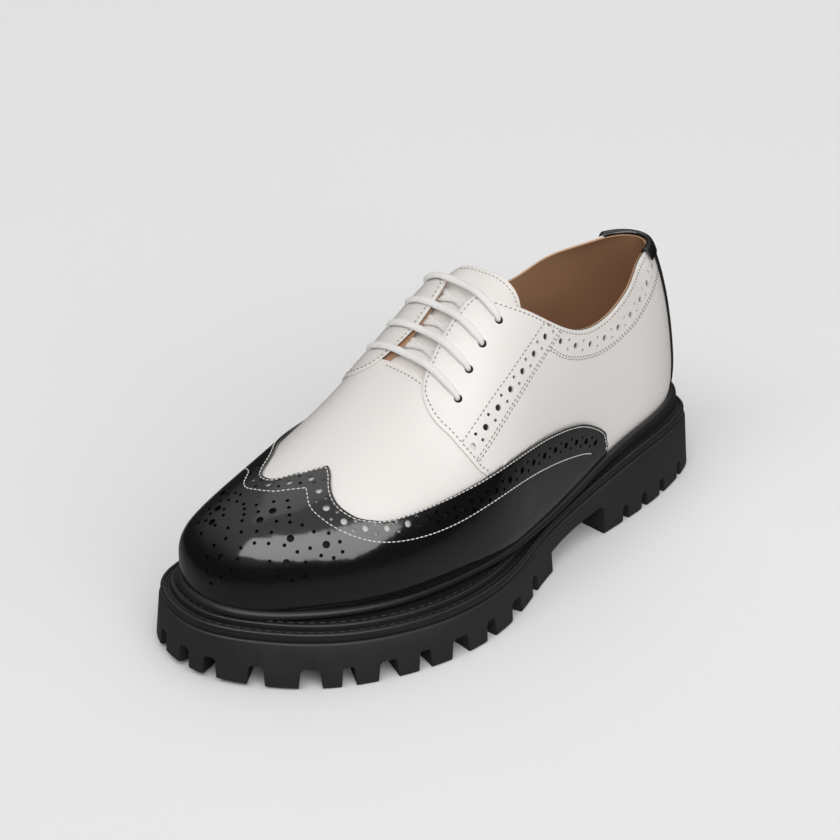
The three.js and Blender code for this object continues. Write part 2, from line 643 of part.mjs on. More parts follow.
// The overlays stop just above the storm bead
function randRoom() {
  const up = (h) => (y) => footZ(y) + h;
  return stack([raised(-10, up(-10)), raised(-10, up(RAND_HEIGHT + FIT))]);
}

// Black strip down the back with the tab that folds over the collar
// Section angle at which the upper reaches the topline, or `drop` below it
function angleOfTop(v, side, drop = 0) {
  let low = rad(3);
  let high = rad(89);
  for (let k = 0; k < 40; k++) {
    const mid = (low + high) / 2;
    const p = lastPoint(v, side > 0 ? mid : Math.PI - mid);
    if (p[2] < INSTEP * topline(stationAt(p[1])) - drop) low = mid;
    else high = mid;
  }
  return low;
}
function makeBackStrip() {
  const width = (v) => Math.min(lateralOf(v), medialOf(v)) * LAST_WIDTH;
  let edge = 0;
  while (width(edge) < STRIP_HALF) edge += 0.001;
  const at = (f, g) => {
    const side = f < 0.5 ? -1 : 1;
    const v = edge * Math.abs(2 * f - 1);
    const th = -UNDER + (angleOfTop(v, side) - rad(1) + UNDER) * g;
    return [v, side > 0 ? th : Math.PI - th];
  };
  const strip = patch(6, 10, at, level(OVERLAY_FIT + CAP_SKIN), level(OVERLAY_FIT));
  return strip.add(makeTab()).subtract(randRoom());
}
// The tab: its section carried along the collar's edge round the heel
function makeTab() {
  const outer = OVERLAY_FIT + 0.1;
  const inner = -WALL;
  const lift = 1.5 * FIT;
  const crown = lift + CAP_SKIN;
  const section = [
    { out: outer, drop: TAB_DROP }, { out: outer, drop: TAB_DROP / 2 }, { out: outer, drop: -lift },
    { out: inner, drop: -lift }, { out: inner + 0.4, drop: -crown }, { out: outer, drop: -crown },
    { out: outer + CAP_SKIN, drop: -lift - CAP_SKIN / 2 }, { out: outer + CAP_SKIN, drop: TAB_DROP / 2 },
    { out: outer + CAP_SKIN, drop: TAB_DROP },
  ];
  const count = 6;
  const points = [];
  for (let i = -count; i <= count; i++) {
    const v = Math.abs(i) / count * TAB_REACH;
    const side = i < 0 ? -1 : 1;
    for (const { out, drop } of section) {
      const top = angleOfTop(v, side, Math.max(0, drop));
      const th = side > 0 ? top : Math.PI - top;
      if (drop > 0) {
        points.push(offsetPoint(v, th, out));
      } else {
        const p = lastPoint(v, th);
        const n = lastNormal(v, th);
        const flat = n.clone().setZ(0).normalize();
        const reach = out / n.dot(flat);
        points.push([p[0] + flat.x * reach, p[1] + flat.y * reach, p[2] - drop]);
      }
    }
  }
  const m = section.length;
  const faces = [];
  for (let i = 0; i < 2 * count; i++) {
    for (let a = 0; a < m; a++) {
      const b = (a + 1) % m;
      quad(faces, i * m + a, i * m + b, (i + 1) * m + b, (i + 1) * m + a);
    }
  }
  const flat = section.map(({ out, drop }) => new THREE.Vector2(out, drop));
  const end = 2 * count * m;
  for (const [a, b, c] of THREE.ShapeUtils.triangulateShape(flat, [])) {
    faces.push([a, c, b], [end + a, end + b, end + c]);
  }
  return solidFrom(points, faces);
}

// Tongue below the facings, fixed under the vamp at its front end
const tongueSink = linear(column(TONGUE_SINK, 'along'), column(TONGUE_SINK, 'sink'));
function makeTongue() {
  const at = (f, g) => {
    const deg = TONGUE_SIDE + (180 - 2 * TONGUE_SIDE) * g;
    const corner = Math.abs(deg - 90) / (90 - TONGUE_SIDE);
    const slant = 0.016 * Math.min(1, g * 1.6);
    const start = TONGUE_TOP + slant + 0.02 * corner ** 6;
    return [start + (TONGUE_FOOT - start) * f, rad(deg)];
  };
  const sink = (f, g) => -WALL - tongueSink(at(f, g)[0]);
  return patch(10, 9, at, sink, (f, g) => sink(f, g) - TONGUE_SKIN);
}

// Insole inside the upper
function makeInsole() {
  const ring = (gap, h) => {
    const loop = [];
    const put = (v, side) => {
      const q = wallAt(v, side, h);
      const n = lastNormal(v, side > 0 ? 0 : Math.PI);
      const flat = new THREE.Vector2(n.x, n.y).normalize();
      loop.push([q[0] - flat.x * (WALL + gap), q[1] - flat.y * (WALL + gap), footZ(q[1]) + h]);
    };
    for (let i = 0; i <= LAST_STEPS; i++) put(i / LAST_STEPS, 1);
    for (let i = LAST_STEPS - 1; i > 0; i--) put(i / LAST_STEPS, -1);
    return loop;
  };
  return stack([ring(0.9, 0), ring(0.7, INSOLE_THICK - 1), ring(1.4, INSOLE_THICK)]);
}

// Round lace: four bars through the eyelets, crossed strands below the facings
function makeLaces() {
  const over = QUARTER_STEP + FIT + LACE_R + 0.15;
  const below = -WALL - 1.5 * FIT - LACE_R - 0.25;
  const parts = [];
  for (const { along: v, angle } of EYELETS) {
    const half = [
      [angle, below], [angle, 1.2], [angle + 1.8, over - 0.3], [angle + 5, over],
      [angle + 12, over], [82, over],
    ];
    const path = half.map(([deg, out]) => offsetPoint(v, rad(deg), out));
    const back = [...half].reverse().map(([deg, out]) => offsetPoint(v, rad(180 - deg), out));
    parts.push(tube([...path, ...back], LACE_R));
  }
  for (let row = 0; row + 1 < EYELETS.length; row++) {
    for (const side of [1, -1]) {
      const a = EYELETS[row];
      const b = EYELETS[row + 1];
      const path = [];
      for (let k = 0; k <= 4; k++) {
        const f = k / 4;
        const degA = side > 0 ? a.angle : 180 - a.angle;
        const degB = side > 0 ? 180 - b.angle : b.angle;
        path.push(offsetPoint(a.along + (b.along - a.along) * f, rad(degA + (degB - degA) * f), below));
      }
      parts.push(tube(path, LACE_R));
    }
  }
  return parts.reduce((sum, part) => sum.add(part));
}

function meshOf(solid, name, colour, roughness) {
  const { vertProperties, triVerts } = solid.getMesh();
  const geometry = new THREE.BufferGeometry();
  geometry.setAttribute('position', new THREE.BufferAttribute(new Float32Array(vertProperties), 3));
  geometry.setIndex(new THREE.BufferAttribute(new Uint32Array(triVerts), 1));
  geometry.computeVertexNormals();
  const mesh = new THREE.Mesh(geometry, new THREE.MeshStandardMaterial({ color: colour, roughness }));
  mesh.name = name;
  return mesh;
}

const shoe = new THREE.Group();
shoe.name = 'spectator_shoe';
shoe.add(meshOf(makeOutsole(), 'outsole', 0x1b1b1c, 0.6));
shoe.add(meshOf(makeMidsole(), 'midsole', 0x1e1e1f, 0.45));
shoe.add(meshOf(makeRand(), 'rand', 0x202021, 0.4));
shoe.add(meshOf(makeUpper(), 'upper', 0xece8e3, 0.4));
shoe.add(meshOf(makeWingCap(), 'wing_cap', 0x0b0b0c, 0.1));
shoe.add(meshOf(makeBackStrip(), 'back_strip', 0x0b0b0c, 0.15));
shoe.add(meshOf(makeTongue(), 'tongue', 0xe9e5e0, 0.5));
shoe.add(meshOf(makeInsole(), 'insole', 0xa87860, 0.7));
shoe.add(meshOf(makeLaces(), 'laces', 0xf0efec, 0.8));
shoe.position.set(MIDDLE_X, MIDDLE_Y, 0);
export default shoe;
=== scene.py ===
import math
import bmesh
import bpy
import numpy as np
from mathutils import Matrix, Vector


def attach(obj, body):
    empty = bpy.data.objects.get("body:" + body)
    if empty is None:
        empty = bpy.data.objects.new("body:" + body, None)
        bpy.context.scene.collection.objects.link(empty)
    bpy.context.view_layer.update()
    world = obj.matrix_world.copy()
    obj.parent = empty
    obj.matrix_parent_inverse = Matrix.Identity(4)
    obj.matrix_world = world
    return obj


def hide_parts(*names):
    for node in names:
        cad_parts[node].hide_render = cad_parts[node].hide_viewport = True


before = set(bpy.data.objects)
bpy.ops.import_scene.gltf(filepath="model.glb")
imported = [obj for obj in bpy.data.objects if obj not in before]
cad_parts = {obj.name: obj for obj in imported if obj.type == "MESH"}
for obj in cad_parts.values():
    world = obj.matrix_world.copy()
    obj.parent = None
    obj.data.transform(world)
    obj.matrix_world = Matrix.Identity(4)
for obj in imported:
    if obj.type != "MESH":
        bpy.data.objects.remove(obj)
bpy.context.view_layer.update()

scene = bpy.context.scene
scene.view_settings.view_transform = "Standard"

# Studio: a pale paper floor under one shoe, a camera above the toe's lateral side, a long
# soft box overhead with two weaker ones behind it, and the pale ceiling of the room.
MM = 0.001
CAMERA_TURN, CAMERA_LIFT = math.radians(45), math.radians(30)
CAMERA_AWAY = 1233 * MM
FOCUS_IN_PIXELS, IMAGE_PIXELS = 2800, 840
LOOKED_AT = Vector((-3.4, -0.15, 40)) * MM       # lands 33 right of and 56 below the middle
RIGHT_OF_MIDDLE, BELOW_MIDDLE = 33, 56


def aim_camera():
    camera = bpy.data.objects.new("camera", bpy.data.cameras.new("camera"))
    scene.collection.objects.link(camera)
    camera.data.sensor_width = 36
    camera.data.lens = 36 * FOCUS_IN_PIXELS / IMAGE_PIXELS
    back = Vector((math.sin(CAMERA_TURN) * math.cos(CAMERA_LIFT),
                   -math.cos(CAMERA_TURN) * math.cos(CAMERA_LIFT), math.sin(CAMERA_LIFT)))
    right = Vector((math.cos(CAMERA_TURN), math.sin(CAMERA_TURN), 0))
    up = back.cross(right)
    per_pixel = CAMERA_AWAY / FOCUS_IN_PIXELS
    middle = LOOKED_AT - right * RIGHT_OF_MIDDLE * per_pixel + up * BELOW_MIDDLE * per_pixel
    camera.location = LOOKED_AT + back * CAMERA_AWAY
    camera.rotation_euler = (middle - camera.location).to_track_quat("-Z", "Y").to_euler()
    scene.camera = camera


def soft_box(name, place, towards, wide, high, watts, turn=0, in_gloss=True):
    light = bpy.data.lights.new(name, "AREA")
    light.shape, light.size, light.size_y = "RECTANGLE", wide, high
    light.energy = watts
    lamp = bpy.data.objects.new(name, light)
    lamp.location = place
    aim = (Vector(towards) - Vector(place)).to_track_quat("-Z", "Y").to_matrix().to_4x4()
    lamp.rotation_euler = (aim @ Matrix.Rotation(math.radians(turn), 4, "Z")).to_euler()
    lamp.visible_glossy = in_gloss
    scene.collection.objects.link(lamp)


def paper_floor():
    bm = bmesh.new()
    bmesh.ops.create_grid(bm, x_segments=1, y_segments=1, size=40)
    mesh = bpy.data.meshes.new("floor")
    bm.to_mesh(mesh)
    bm.free()
    floor = bpy.data.objects.new("floor", mesh)
    scene.collection.objects.link(floor)
    paper = bpy.data.materials.new("floor_paper")
    paper.use_nodes = True
    surface = paper.node_tree.nodes["Principled BSDF"]
    surface.inputs["Roughness"].default_value = 0.9
    surface.inputs["Specular IOR Level"].default_value = 0.1
    ray = paper.node_tree.nodes.new("ShaderNodeLightPath")
    shade = paper.node_tree.nodes.new("ShaderNodeMix")
    shade.data_type = "RGBA"
    shade.inputs["A"].default_value = (0.84, 0.84, 0.84, 1)
    tree = paper.node_tree
    place = tree.nodes.new("ShaderNodeTexCoord").outputs["Object"]

    def fading(vector, operation, near, far, low, high):
        reach = tree.nodes.new("ShaderNodeVectorMath")
        reach.operation = operation
        tree.links.new(place, reach.inputs[0])
        reach.inputs[1].default_value = vector
        fade = tree.nodes.new("ShaderNodeMapRange")
        for socket, value in (("From Min", near), ("From Max", far), ("To Min", low), ("To Max", high)):
            fade.inputs[socket].default_value = value
        tree.links.new(reach.outputs["Value"], fade.inputs["Value"])
        return fade.outputs["Result"]
    # painted reflection: to glossy rays the paper shows a dark grey, 0.2 close to the shoe fading to 0.015
    # further off, so black leather mirrors a darker paper than the camera sees
    mirrored = fading((0, 0, 0), "DISTANCE", 0.1, 0.36, 0.2, 0.015)
    tree.links.new(mirrored, shade.inputs["B"])
    tree.links.new(ray.outputs["Is Glossy Ray"], shade.inputs["Factor"])
    tree.links.new(shade.outputs["Result"], surface.inputs["Base Color"])
    # the sweep of paper is as bright at its far end as close by
    even = fading((-0.7071, 0.7071, 0), "DOT_PRODUCT", -0.3, 0.7, 0.0, 0.10)
    seen = tree.nodes.new("ShaderNodeMath")
    seen.operation = "MULTIPLY"
    tree.links.new(even, seen.inputs[0])
    tree.links.new(ray.outputs["Is Camera Ray"], seen.inputs[1])
    surface.inputs["Emission Color"].default_value = (1, 1, 1, 1)
    tree.links.new(seen.outputs[0], surface.inputs["Emission Strength"])
    mesh.materials.append(paper)


def white_room():
    """Room that is pale overhead and dark round the horizon, so that black leather stays black."""
    room = bpy.data.worlds.new("white_room")
    room.use_nodes = True
    tree = room.node_tree
    place = tree.nodes.new("ShaderNodeTexCoord")
    height = tree.nodes.new("ShaderNodeSeparateXYZ")
    ramp = tree.nodes.new("ShaderNodeMapRange")
    ramp.interpolation_type = "SMOOTHSTEP"
    for socket, value in (("From Min", 0.15), ("From Max", 1), ("To Min", 0.03), ("To Max", 0.5)):
        ramp.inputs[socket].default_value = value
    tree.links.new(place.outputs["Generated"], height.inputs["Vector"])
    tree.links.new(height.outputs["Z"], ramp.inputs["Value"])
    ray = tree.nodes.new("ShaderNodeLightPath")
    seen = tree.nodes.new("ShaderNodeMix")
    tree.links.new(ray.outputs["Is Camera Ray"], seen.inputs["Factor"])
    tree.links.new(ramp.outputs["Result"], seen.inputs["A"])
    seen.inputs["B"].default_value = 0.82
    tree.links.new(seen.outputs["Result"], tree.nodes["Background"].inputs["Strength"])
    tree.nodes["Background"].inputs["Color"].default_value = (1, 1, 1, 1)
    scene.world = room


aim_camera()
paper_floor()
white_room()
soft_box("long_soft_box", (1.44, -1.38, 2.11), (0, 0, 0), 5.4, 1.85, 82, turn=-28)
soft_box("back_overhead_box", (-0.5, 1.1, 2.4), (0, 0, 0), 3.6, 2.4, 11)
soft_box("low_side_box", (2.6, 1.0, 1.1), (0, 0.05, 0.05), 2.4, 1.6, 9, in_gloss=False)

# Outsole: a chunky unit of black rubber with deep lugs, moulded in one with its heel and
# cemented under the midsole. Its wall leans out a little on its way to the floor.
LENGTH, SOLE_WIDTH = 292, 113                     # mm, as all sizes of the shoe below
MIDDLE = np.array([-9.4, -0.15, 0])               # from the last's axis to the part's origin
HEEL_EDGE = 27.5                                  # moulded edge line above the floor, at the heel
FLARE, TOE_SPRING, LUG, NOTCH_REACH = 2, 2.5, 9.2, 17
SOLE = [                                          # station from the heel, lateral, medial half
    (0, 0, 0), (0.018, 0.186, 0.177), (0.07, 0.274, 0.257), (0.16, 0.336, 0.31),
    (0.3, 0.376, 0.296), (0.43, 0.43, 0.285), (0.56, 0.56, 0.335), (0.68, 0.598, 0.402),
    (0.79, 0.536, 0.434), (0.89, 0.4, 0.407), (0.962, 0.204, 0.327), (1, -0.055, 0.055),
]
EDGE_LINE = [(0, 0.964), (0.2, 1), (0.4, 0.691), (0.6, 0.691), (0.8, 0.727), (1, 0.818)]
UNDERSIDE = [(0, 0.87), (0.27, 0.87), (0.3, 1.6), (0.36, 1.4), (0.43, 1.1), (0.5, 1), (1, 1)]
NOTCHES = [                                       # station, width at the floor, both sides
    (0.904, 10), (0.8585, 6.5), (0.805, 9.5), (0.75, 6.5), (0.689, 10), (0.6255, 6.5),
    (0.557, 9.5), (0.492, 6.5), (0.2354, 5), (0.1858, 5), (0.1339, 5), (0.0743, 5),
    (0.957, 8), (0.9915, 7), (0.0165, 5),
]
TREAD_GAPS = [(0.12, 0.155), (0.185, 0.225), (0.47, 0.51), (0.55, 0.59), (0.63, 0.67),
              (0.71, 0.75), (0.79, 0.83)]


def curve_through(xs, ys, flat_start=False, flat_end=False):
    """Cubic through the points, with straight or level ends, as a function of an array."""
    xs, ys = np.array(xs, float), np.array(ys, float)
    n, h = len(xs), np.diff(xs)
    stiff, load = np.eye(n), np.zeros(n)
    for i in range(1, n - 1):
        stiff[i, i - 1:i + 2] = h[i - 1], 2 * (h[i - 1] + h[i]), h[i]
        load[i] = 6 * ((ys[i + 1] - ys[i]) / h[i] - (ys[i] - ys[i - 1]) / h[i - 1])
    if flat_start:
        stiff[0, :2], load[0] = (2 * h[0], h[0]), 6 * (ys[1] - ys[0]) / h[0]
    if flat_end:
        stiff[-1, -2:], load[-1] = (h[-1], 2 * h[-1]), -6 * (ys[-1] - ys[-2]) / h[-1]
    bend = np.linalg.solve(stiff, load)

    def value(x):
        x = np.clip(x, xs[0], xs[-1])
        i = np.clip(np.searchsorted(xs, x, side="right") - 1, 0, n - 2)
        a, b = (xs[i + 1] - x) / h[i], (x - xs[i]) / h[i]
        return (a * ys[i] + b * ys[i + 1]
                + ((a ** 3 - a) * bend[i] + (b ** 3 - b) * bend[i + 1]) * h[i] ** 2 / 6)
    return value


def share(u):
    return (1 - np.cos(np.pi * np.clip(u, 0, 1))) / 2


def along(station):
    return np.arccos(1 - 2 * np.clip(station, 0, 1)) / np.pi


def y_at(station):
    return LENGTH / 2 - LENGTH * np.asarray(station)


def station_at(y):
    return (LENGTH / 2 - y) / LENGTH


sole_station, sole_l, sole_m = zip(*SOLE)
sole_lateral = curve_through(along(np.array(sole_station)), sole_l)
sole_medial = curve_through(along(np.array(sole_station)), sole_m)
edge_share = curve_through(*zip(*EDGE_LINE), True, True)


def edge_z(y):
    return HEEL_EDGE * edge_share(station_at(y))


def under_z(y):
    """Floor of the tread between the lugs, and the arch of the waist."""
    stations, heights = zip(*UNDERSIDE)
    return spring_z(y) + LUG * np.interp(station_at(y), stations, heights)


def spring_z(y):
    return TOE_SPRING * np.clip((station_at(y) - 0.84) / 0.16, 0, None) ** 2


def sole_outline(u, side, inset=0.0):
    """Points of the sole's outline, side +1 lateral or -1 medial, moved in by `inset`."""
    u = np.asarray(u, float)

    def at(k):
        across = np.where(side > 0, sole_lateral(k), -sole_medial(k)) * SOLE_WIDTH
        return np.stack([across, y_at(share(k))], -1)
    k = np.clip(u, 0.004, 0.996)
    run = at(k + 0.004) - at(k - 0.004)
    out = np.stack([-run[..., 1], run[..., 0]], -1) * np.asarray(side)[..., None]
    out /= np.linalg.norm(out, axis=-1, keepdims=True)
    ends = np.stack([0 * u, np.where(u < 0.5, 1.0, -1.0)], -1)
    out = np.where(((u < 1e-6) | (u > 1 - 1e-6))[..., None], ends, out)
    return at(u) - inset * out


def ring_round(steps):
    """Places (u, side) of a closed ring from the heel along the lateral side and back."""
    u = np.concatenate([np.arange(steps + 1), np.arange(steps - 1, 0, -1)]) / steps
    side = np.concatenate([np.ones(steps + 1), -np.ones(steps - 1)])
    return u, side


def set_places(verts, points):
    """Puts vertices on points given in millimetres about the last's axis."""
    for vert, point in zip(verts, (points + MIDDLE) * MM):
        vert.co = point


def next_ring(bm, edges, loop):
    """Extrudes a ring of edges: its new edges, its vertices in the old ones' order, its faces."""
    grown = bmesh.ops.extrude_edge_only(bm, edges=edges)["geom"]
    fresh = {g for g in grown if isinstance(g, bmesh.types.BMVert)}
    edges = [g for g in grown if isinstance(g, bmesh.types.BMEdge) and set(g.verts) <= fresh]
    loop = [next(e.other_vert(vert) for e in vert.link_edges if e.other_vert(vert) in fresh)
            for vert in loop]
    return edges, loop, [g for g in grown if isinstance(g, bmesh.types.BMFace)]


def moulded(bm, rings, steps):
    """Closed body: a ring of points per level, each extruded from the one below it."""
    base = bmesh.ops.create_circle(bm, segments=2 * steps, radius=1)["verts"]
    loop = sorted(base, key=lambda vert: math.atan2(vert.co.y, vert.co.x))
    edges = list(bm.edges)
    set_places(loop, rings[0])
    lids = [bmesh.ops.contextual_create(bm, geom=edges)["faces"][0]]
    rungs = [(loop[i], loop[-i]) for i in range(1, steps)]
    for ring in rings[1:]:
        edges, loop, _ = next_ring(bm, edges, loop)
        set_places(loop, ring)
    lids.append(bmesh.ops.contextual_create(bm, geom=edges)["faces"][0])
    rungs = [rungs, [(loop[i], loop[-i]) for i in range(1, steps)]]
    for lid, pairs in zip(lids, rungs):
        for one, other in pairs:
            cut = bmesh.utils.face_split(lid, one, other)
            nearer = pairs[-1]
            lid = next(f for f in (lid, cut[0]) if nearer[0] in f.verts and nearer[1] in f.verts)
    bmesh.ops.recalc_face_normals(bm, faces=bm.faces[:])


def piece_from(bm, name, *materials, sharp=35):
    mesh = bpy.data.meshes.new(name)
    bm.to_mesh(mesh)
    bm.free()
    piece = bpy.data.objects.new(name, mesh)
    scene.collection.objects.link(piece)
    for material in materials:
        mesh.materials.append(material)
    mesh.shade_smooth()
    mesh.set_sharp_from_angle(angle=math.radians(sharp))
    return piece


def settled(piece, sharp=35):
    """Works a piece's modifiers into its mesh."""
    graph = bpy.context.evaluated_depsgraph_get()
    mesh = bpy.data.meshes.new_from_object(piece.evaluated_get(graph))
    piece.modifiers.clear()
    piece.data = mesh
    mesh.shade_smooth()
    mesh.set_sharp_from_angle(angle=math.radians(sharp))


def punched(piece, cutter_bm):
    """Takes the closed bodies of cutter_bm out of the piece."""
    tool = piece_from(cutter_bm, piece.name + "_punch")
    cut = piece.modifiers.new("punch", "BOOLEAN")
    cut.operation, cut.solver, cut.object = "DIFFERENCE", "MANIFOLD", tool
    settled(piece)
    bpy.data.objects.remove(tool)


def material_named(name, colour, roughness, **extra):
    material = bpy.data.materials.new(name)
    material.use_nodes = True
    surface = material.node_tree.nodes["Principled BSDF"]
    surface.inputs["Base Color"].default_value = (*colour, 1)
    surface.inputs["Roughness"].default_value = roughness
    for socket, value in extra.items():
        surface.inputs[socket.replace("_", " ")].default_value = value
    return material


def node_after(tree, kind, links=None, **values):
    """Adds a node, sets its inputs by name and links outputs into them."""
    node = tree.nodes.new(kind)
    for socket, value in values.items():
        node.inputs[socket.replace("_", " ")].default_value = value
    for socket, output in (links or {}).items():
        tree.links.new(output, node.inputs[socket])
    return node


def surface_relief_group():
    """Height and colour of a worked surface: coarse mottle, fine grain and pores."""
    group = bpy.data.node_groups.new("surface_relief", "ShaderNodeTree")
    for name, kind in (("Place", "NodeSocketVector"), ("Coarse", "NodeSocketFloat"),
                       ("Fine", "NodeSocketFloat"), ("Shade", "NodeSocketFloat"),
                       ("Colour", "NodeSocketColor")):
        group.interface.new_socket(name, in_out="INPUT", socket_type=kind)
    for name, kind in (("Height", "NodeSocketFloat"), ("Colour", "NodeSocketColor"),
                       ("Mottle", "NodeSocketFloat")):
        group.interface.new_socket(name, in_out="OUTPUT", socket_type=kind)
    inward = group.nodes.new("NodeGroupInput")
    outward = group.nodes.new("NodeGroupOutput")
    coarse = node_after(group, "ShaderNodeTexNoise", {"Vector": inward.outputs["Place"],
                        "Scale": inward.outputs["Coarse"]}, Detail=3.0)
    fine = node_after(group, "ShaderNodeTexVoronoi", {"Vector": inward.outputs["Place"],
                      "Scale": inward.outputs["Fine"]})
    tint = node_after(group, "ShaderNodeHueSaturation", {"Color": inward.outputs["Colour"]})
    dip = group.nodes.new("ShaderNodeMath")
    dip.operation = "MULTIPLY_ADD"
    group.links.new(coarse.outputs["Fac"], dip.inputs[0])
    group.links.new(inward.outputs["Shade"], dip.inputs[1])
    dip.inputs[2].default_value = 1.0
    level = group.nodes.new("ShaderNodeMath")
    level.operation = "MULTIPLY_ADD"
    group.links.new(inward.outputs["Shade"], level.inputs[0])
    level.inputs[1].default_value = -0.5
    group.links.new(dip.outputs[0], level.inputs[2])
    group.links.new(level.outputs[0], tint.inputs["Value"])
    group.links.new(fine.outputs["Distance"], outward.inputs["Height"])
    group.links.new(tint.outputs["Color"], outward.inputs["Colour"])
    group.links.new(coarse.outputs["Fac"], outward.inputs["Mottle"])
    return group


surface_relief = surface_relief_group()


def worked(material, coarse, fine, shade, bump, rough_swing=0.0):
    """Lays the shared surface relief over a material that has one colour so far."""
    tree = material.node_tree
    surface = tree.nodes["Principled BSDF"]
    place = tree.nodes.new("ShaderNodeTexCoord")
    relief = tree.nodes.new("ShaderNodeGroup")
    relief.node_tree = surface_relief
    tree.links.new(place.outputs["Object"], relief.inputs["Place"])
    relief.inputs["Coarse"].default_value = coarse
    relief.inputs["Fine"].default_value = fine
    relief.inputs["Shade"].default_value = shade
    relief.inputs["Colour"].default_value = surface.inputs["Base Color"].default_value
    tree.links.new(relief.outputs["Colour"], surface.inputs["Base Color"])
    grain = node_after(tree, "ShaderNodeBump", {"Height": relief.outputs["Height"]},
                       Strength=bump, Distance=0.0002)
    tree.links.new(grain.outputs["Normal"], surface.inputs["Normal"])
    if rough_swing:
        swing = node_after(tree, "ShaderNodeMapRange", {"Value": relief.outputs["Mottle"]})
        rough = surface.inputs["Roughness"].default_value
        swing.inputs["From Min"].default_value = 0.3
        swing.inputs["From Max"].default_value = 0.7
        swing.inputs["To Min"].default_value = rough - rough_swing
        swing.inputs["To Max"].default_value = rough + rough_swing
        tree.links.new(swing.outputs["Result"], surface.inputs["Roughness"])
    return material


rubber = worked(material_named("black_rubber", (0.019, 0.019, 0.0205), 0.48),
                coarse=60, fine=1800, shade=0.35, bump=0.12, rough_swing=0.06)
SOLE_STEPS = 120


def sole_level(inset, height):
    u, side = ring_round(SOLE_STEPS)
    flat = sole_outline(u, side, inset)
    return np.column_stack([flat, height(flat[:, 1]) + 0 * flat[:, 1]])


def notch_cutters():
    bm = bmesh.new()
    places = [(s, w, side) for s, w in NOTCHES for side in (1, -1)] + [(1, 7, 1)]
    for station, width, side in places:
        u = along(station) if station < 1 else 1.0
        edge, inner = sole_outline(u, side), sole_outline(u, side, 1)
        out = (edge - inner) / np.linalg.norm(edge - inner)
        run = np.array([-out[1], out[0]])
        top = under_z(edge[1])
        profile = [(-width / 2, -5), (width / 2, -5), (width / 2, 1), (width * 0.4, top - 1.2),
                   (width * 0.28, top), (-width * 0.28, top), (-width * 0.4, top - 1.2), (-width / 2, 1)]
        verts = []
        for a, z in profile:
            flat = edge + run * a - out * NOTCH_REACH
            verts.append(bm.verts.new((np.append(flat, z) + MIDDLE) * MM))
        lid = bm.faces.new(verts)
        body = bmesh.ops.extrude_face_region(bm, geom=[lid])["geom"]
        reach = Vector((*out, 0)) * (NOTCH_REACH + 6) * MM
        bmesh.ops.translate(bm, verts=[g for g in body if isinstance(g, bmesh.types.BMVert)], vec=reach)
    bmesh.ops.recalc_face_normals(bm, faces=bm.faces[:])
    return bm


def tread_cutters():
    bm = bmesh.new()
    arch = [(y_at(s), under_z(y_at(s))) for s in np.linspace(0.29, 0.43, 25)]
    outlines = [([(-120, y, z) for y, z in arch] + [(-120, y_at(0.43), -5), (-120, y_at(0.29), -5)],
                 (240, 0, 0))]
    for start, end in TREAD_GAPS:
        u = along(np.linspace(start, end, 4))
        flat = np.concatenate([sole_outline(u, 1 + 0 * u, NOTCH_REACH + 7),
                               sole_outline(u, -1 + 0 * u, NOTCH_REACH + 7)[::-1]])
        top = float(under_z(y_at((start + end) / 2)))
        outlines.append(([(x, y, -5) for x, y in flat], (0, 0, 5 + top)))
    for outline, reach in outlines:
        verts = [bm.verts.new((np.array(p) + MIDDLE) * MM) for p in outline]
        body = bmesh.ops.extrude_face_region(bm, geom=[bm.faces.new(verts)])["geom"]
        bmesh.ops.translate(bm, verts=[g for g in body if isinstance(g, bmesh.types.BMVert)],
                            vec=Vector(reach) * MM)
    bmesh.ops.recalc_face_normals(bm, faces=bm.faces[:])
    return bm


def mould_outsole():
    bm = bmesh.new()
    moulded(bm, [
        sole_level(1.2, spring_z),
        sole_level(0.35, lambda y: spring_z(y) + 0.3),
        sole_level(0, lambda y: spring_z(y) + 1.1),
        sole_level(FLARE * 0.9, lambda y: edge_z(y) - 1),
        sole_level(FLARE + 0.15, lambda y: edge_z(y) - 0.35),
        sole_level(FLARE + 0.9, edge_z),
    ], SOLE_STEPS)
    outsole = piece_from(bm, "moulded_outsole", rubber)
    punched(outsole, notch_cutters())
    punched(outsole, tread_cutters())
    softened = outsole.modifiers.new("worn_edges", "BEVEL")
    softened.limit_method, softened.angle_limit = "ANGLE", math.radians(38)
    softened.width, softened.segments = 0.6 * MM, 2
    settled(outsole, 50)
    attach(outsole, "root")
    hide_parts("outsole")


mould_outsole()

# Midsole: a rubber ledge cemented on the outsole, in two low steps with a sunk row of black
# thread on each, running right round under the upper.
FIT, LEDGE_LOW, LEDGE_HIGH, LEDGE_INSET, STEP_INSET = 0.3, 4.2, 6.4, 2.6, 6.6
ledge_rubber = worked(material_named("ledge_rubber", (0.0135, 0.0135, 0.0145), 0.36),
                      coarse=60, fine=1800, shade=0.3, bump=0.06, rough_swing=0.05)
black_thread = material_named("black_thread", (0.012, 0.012, 0.013), 0.45)


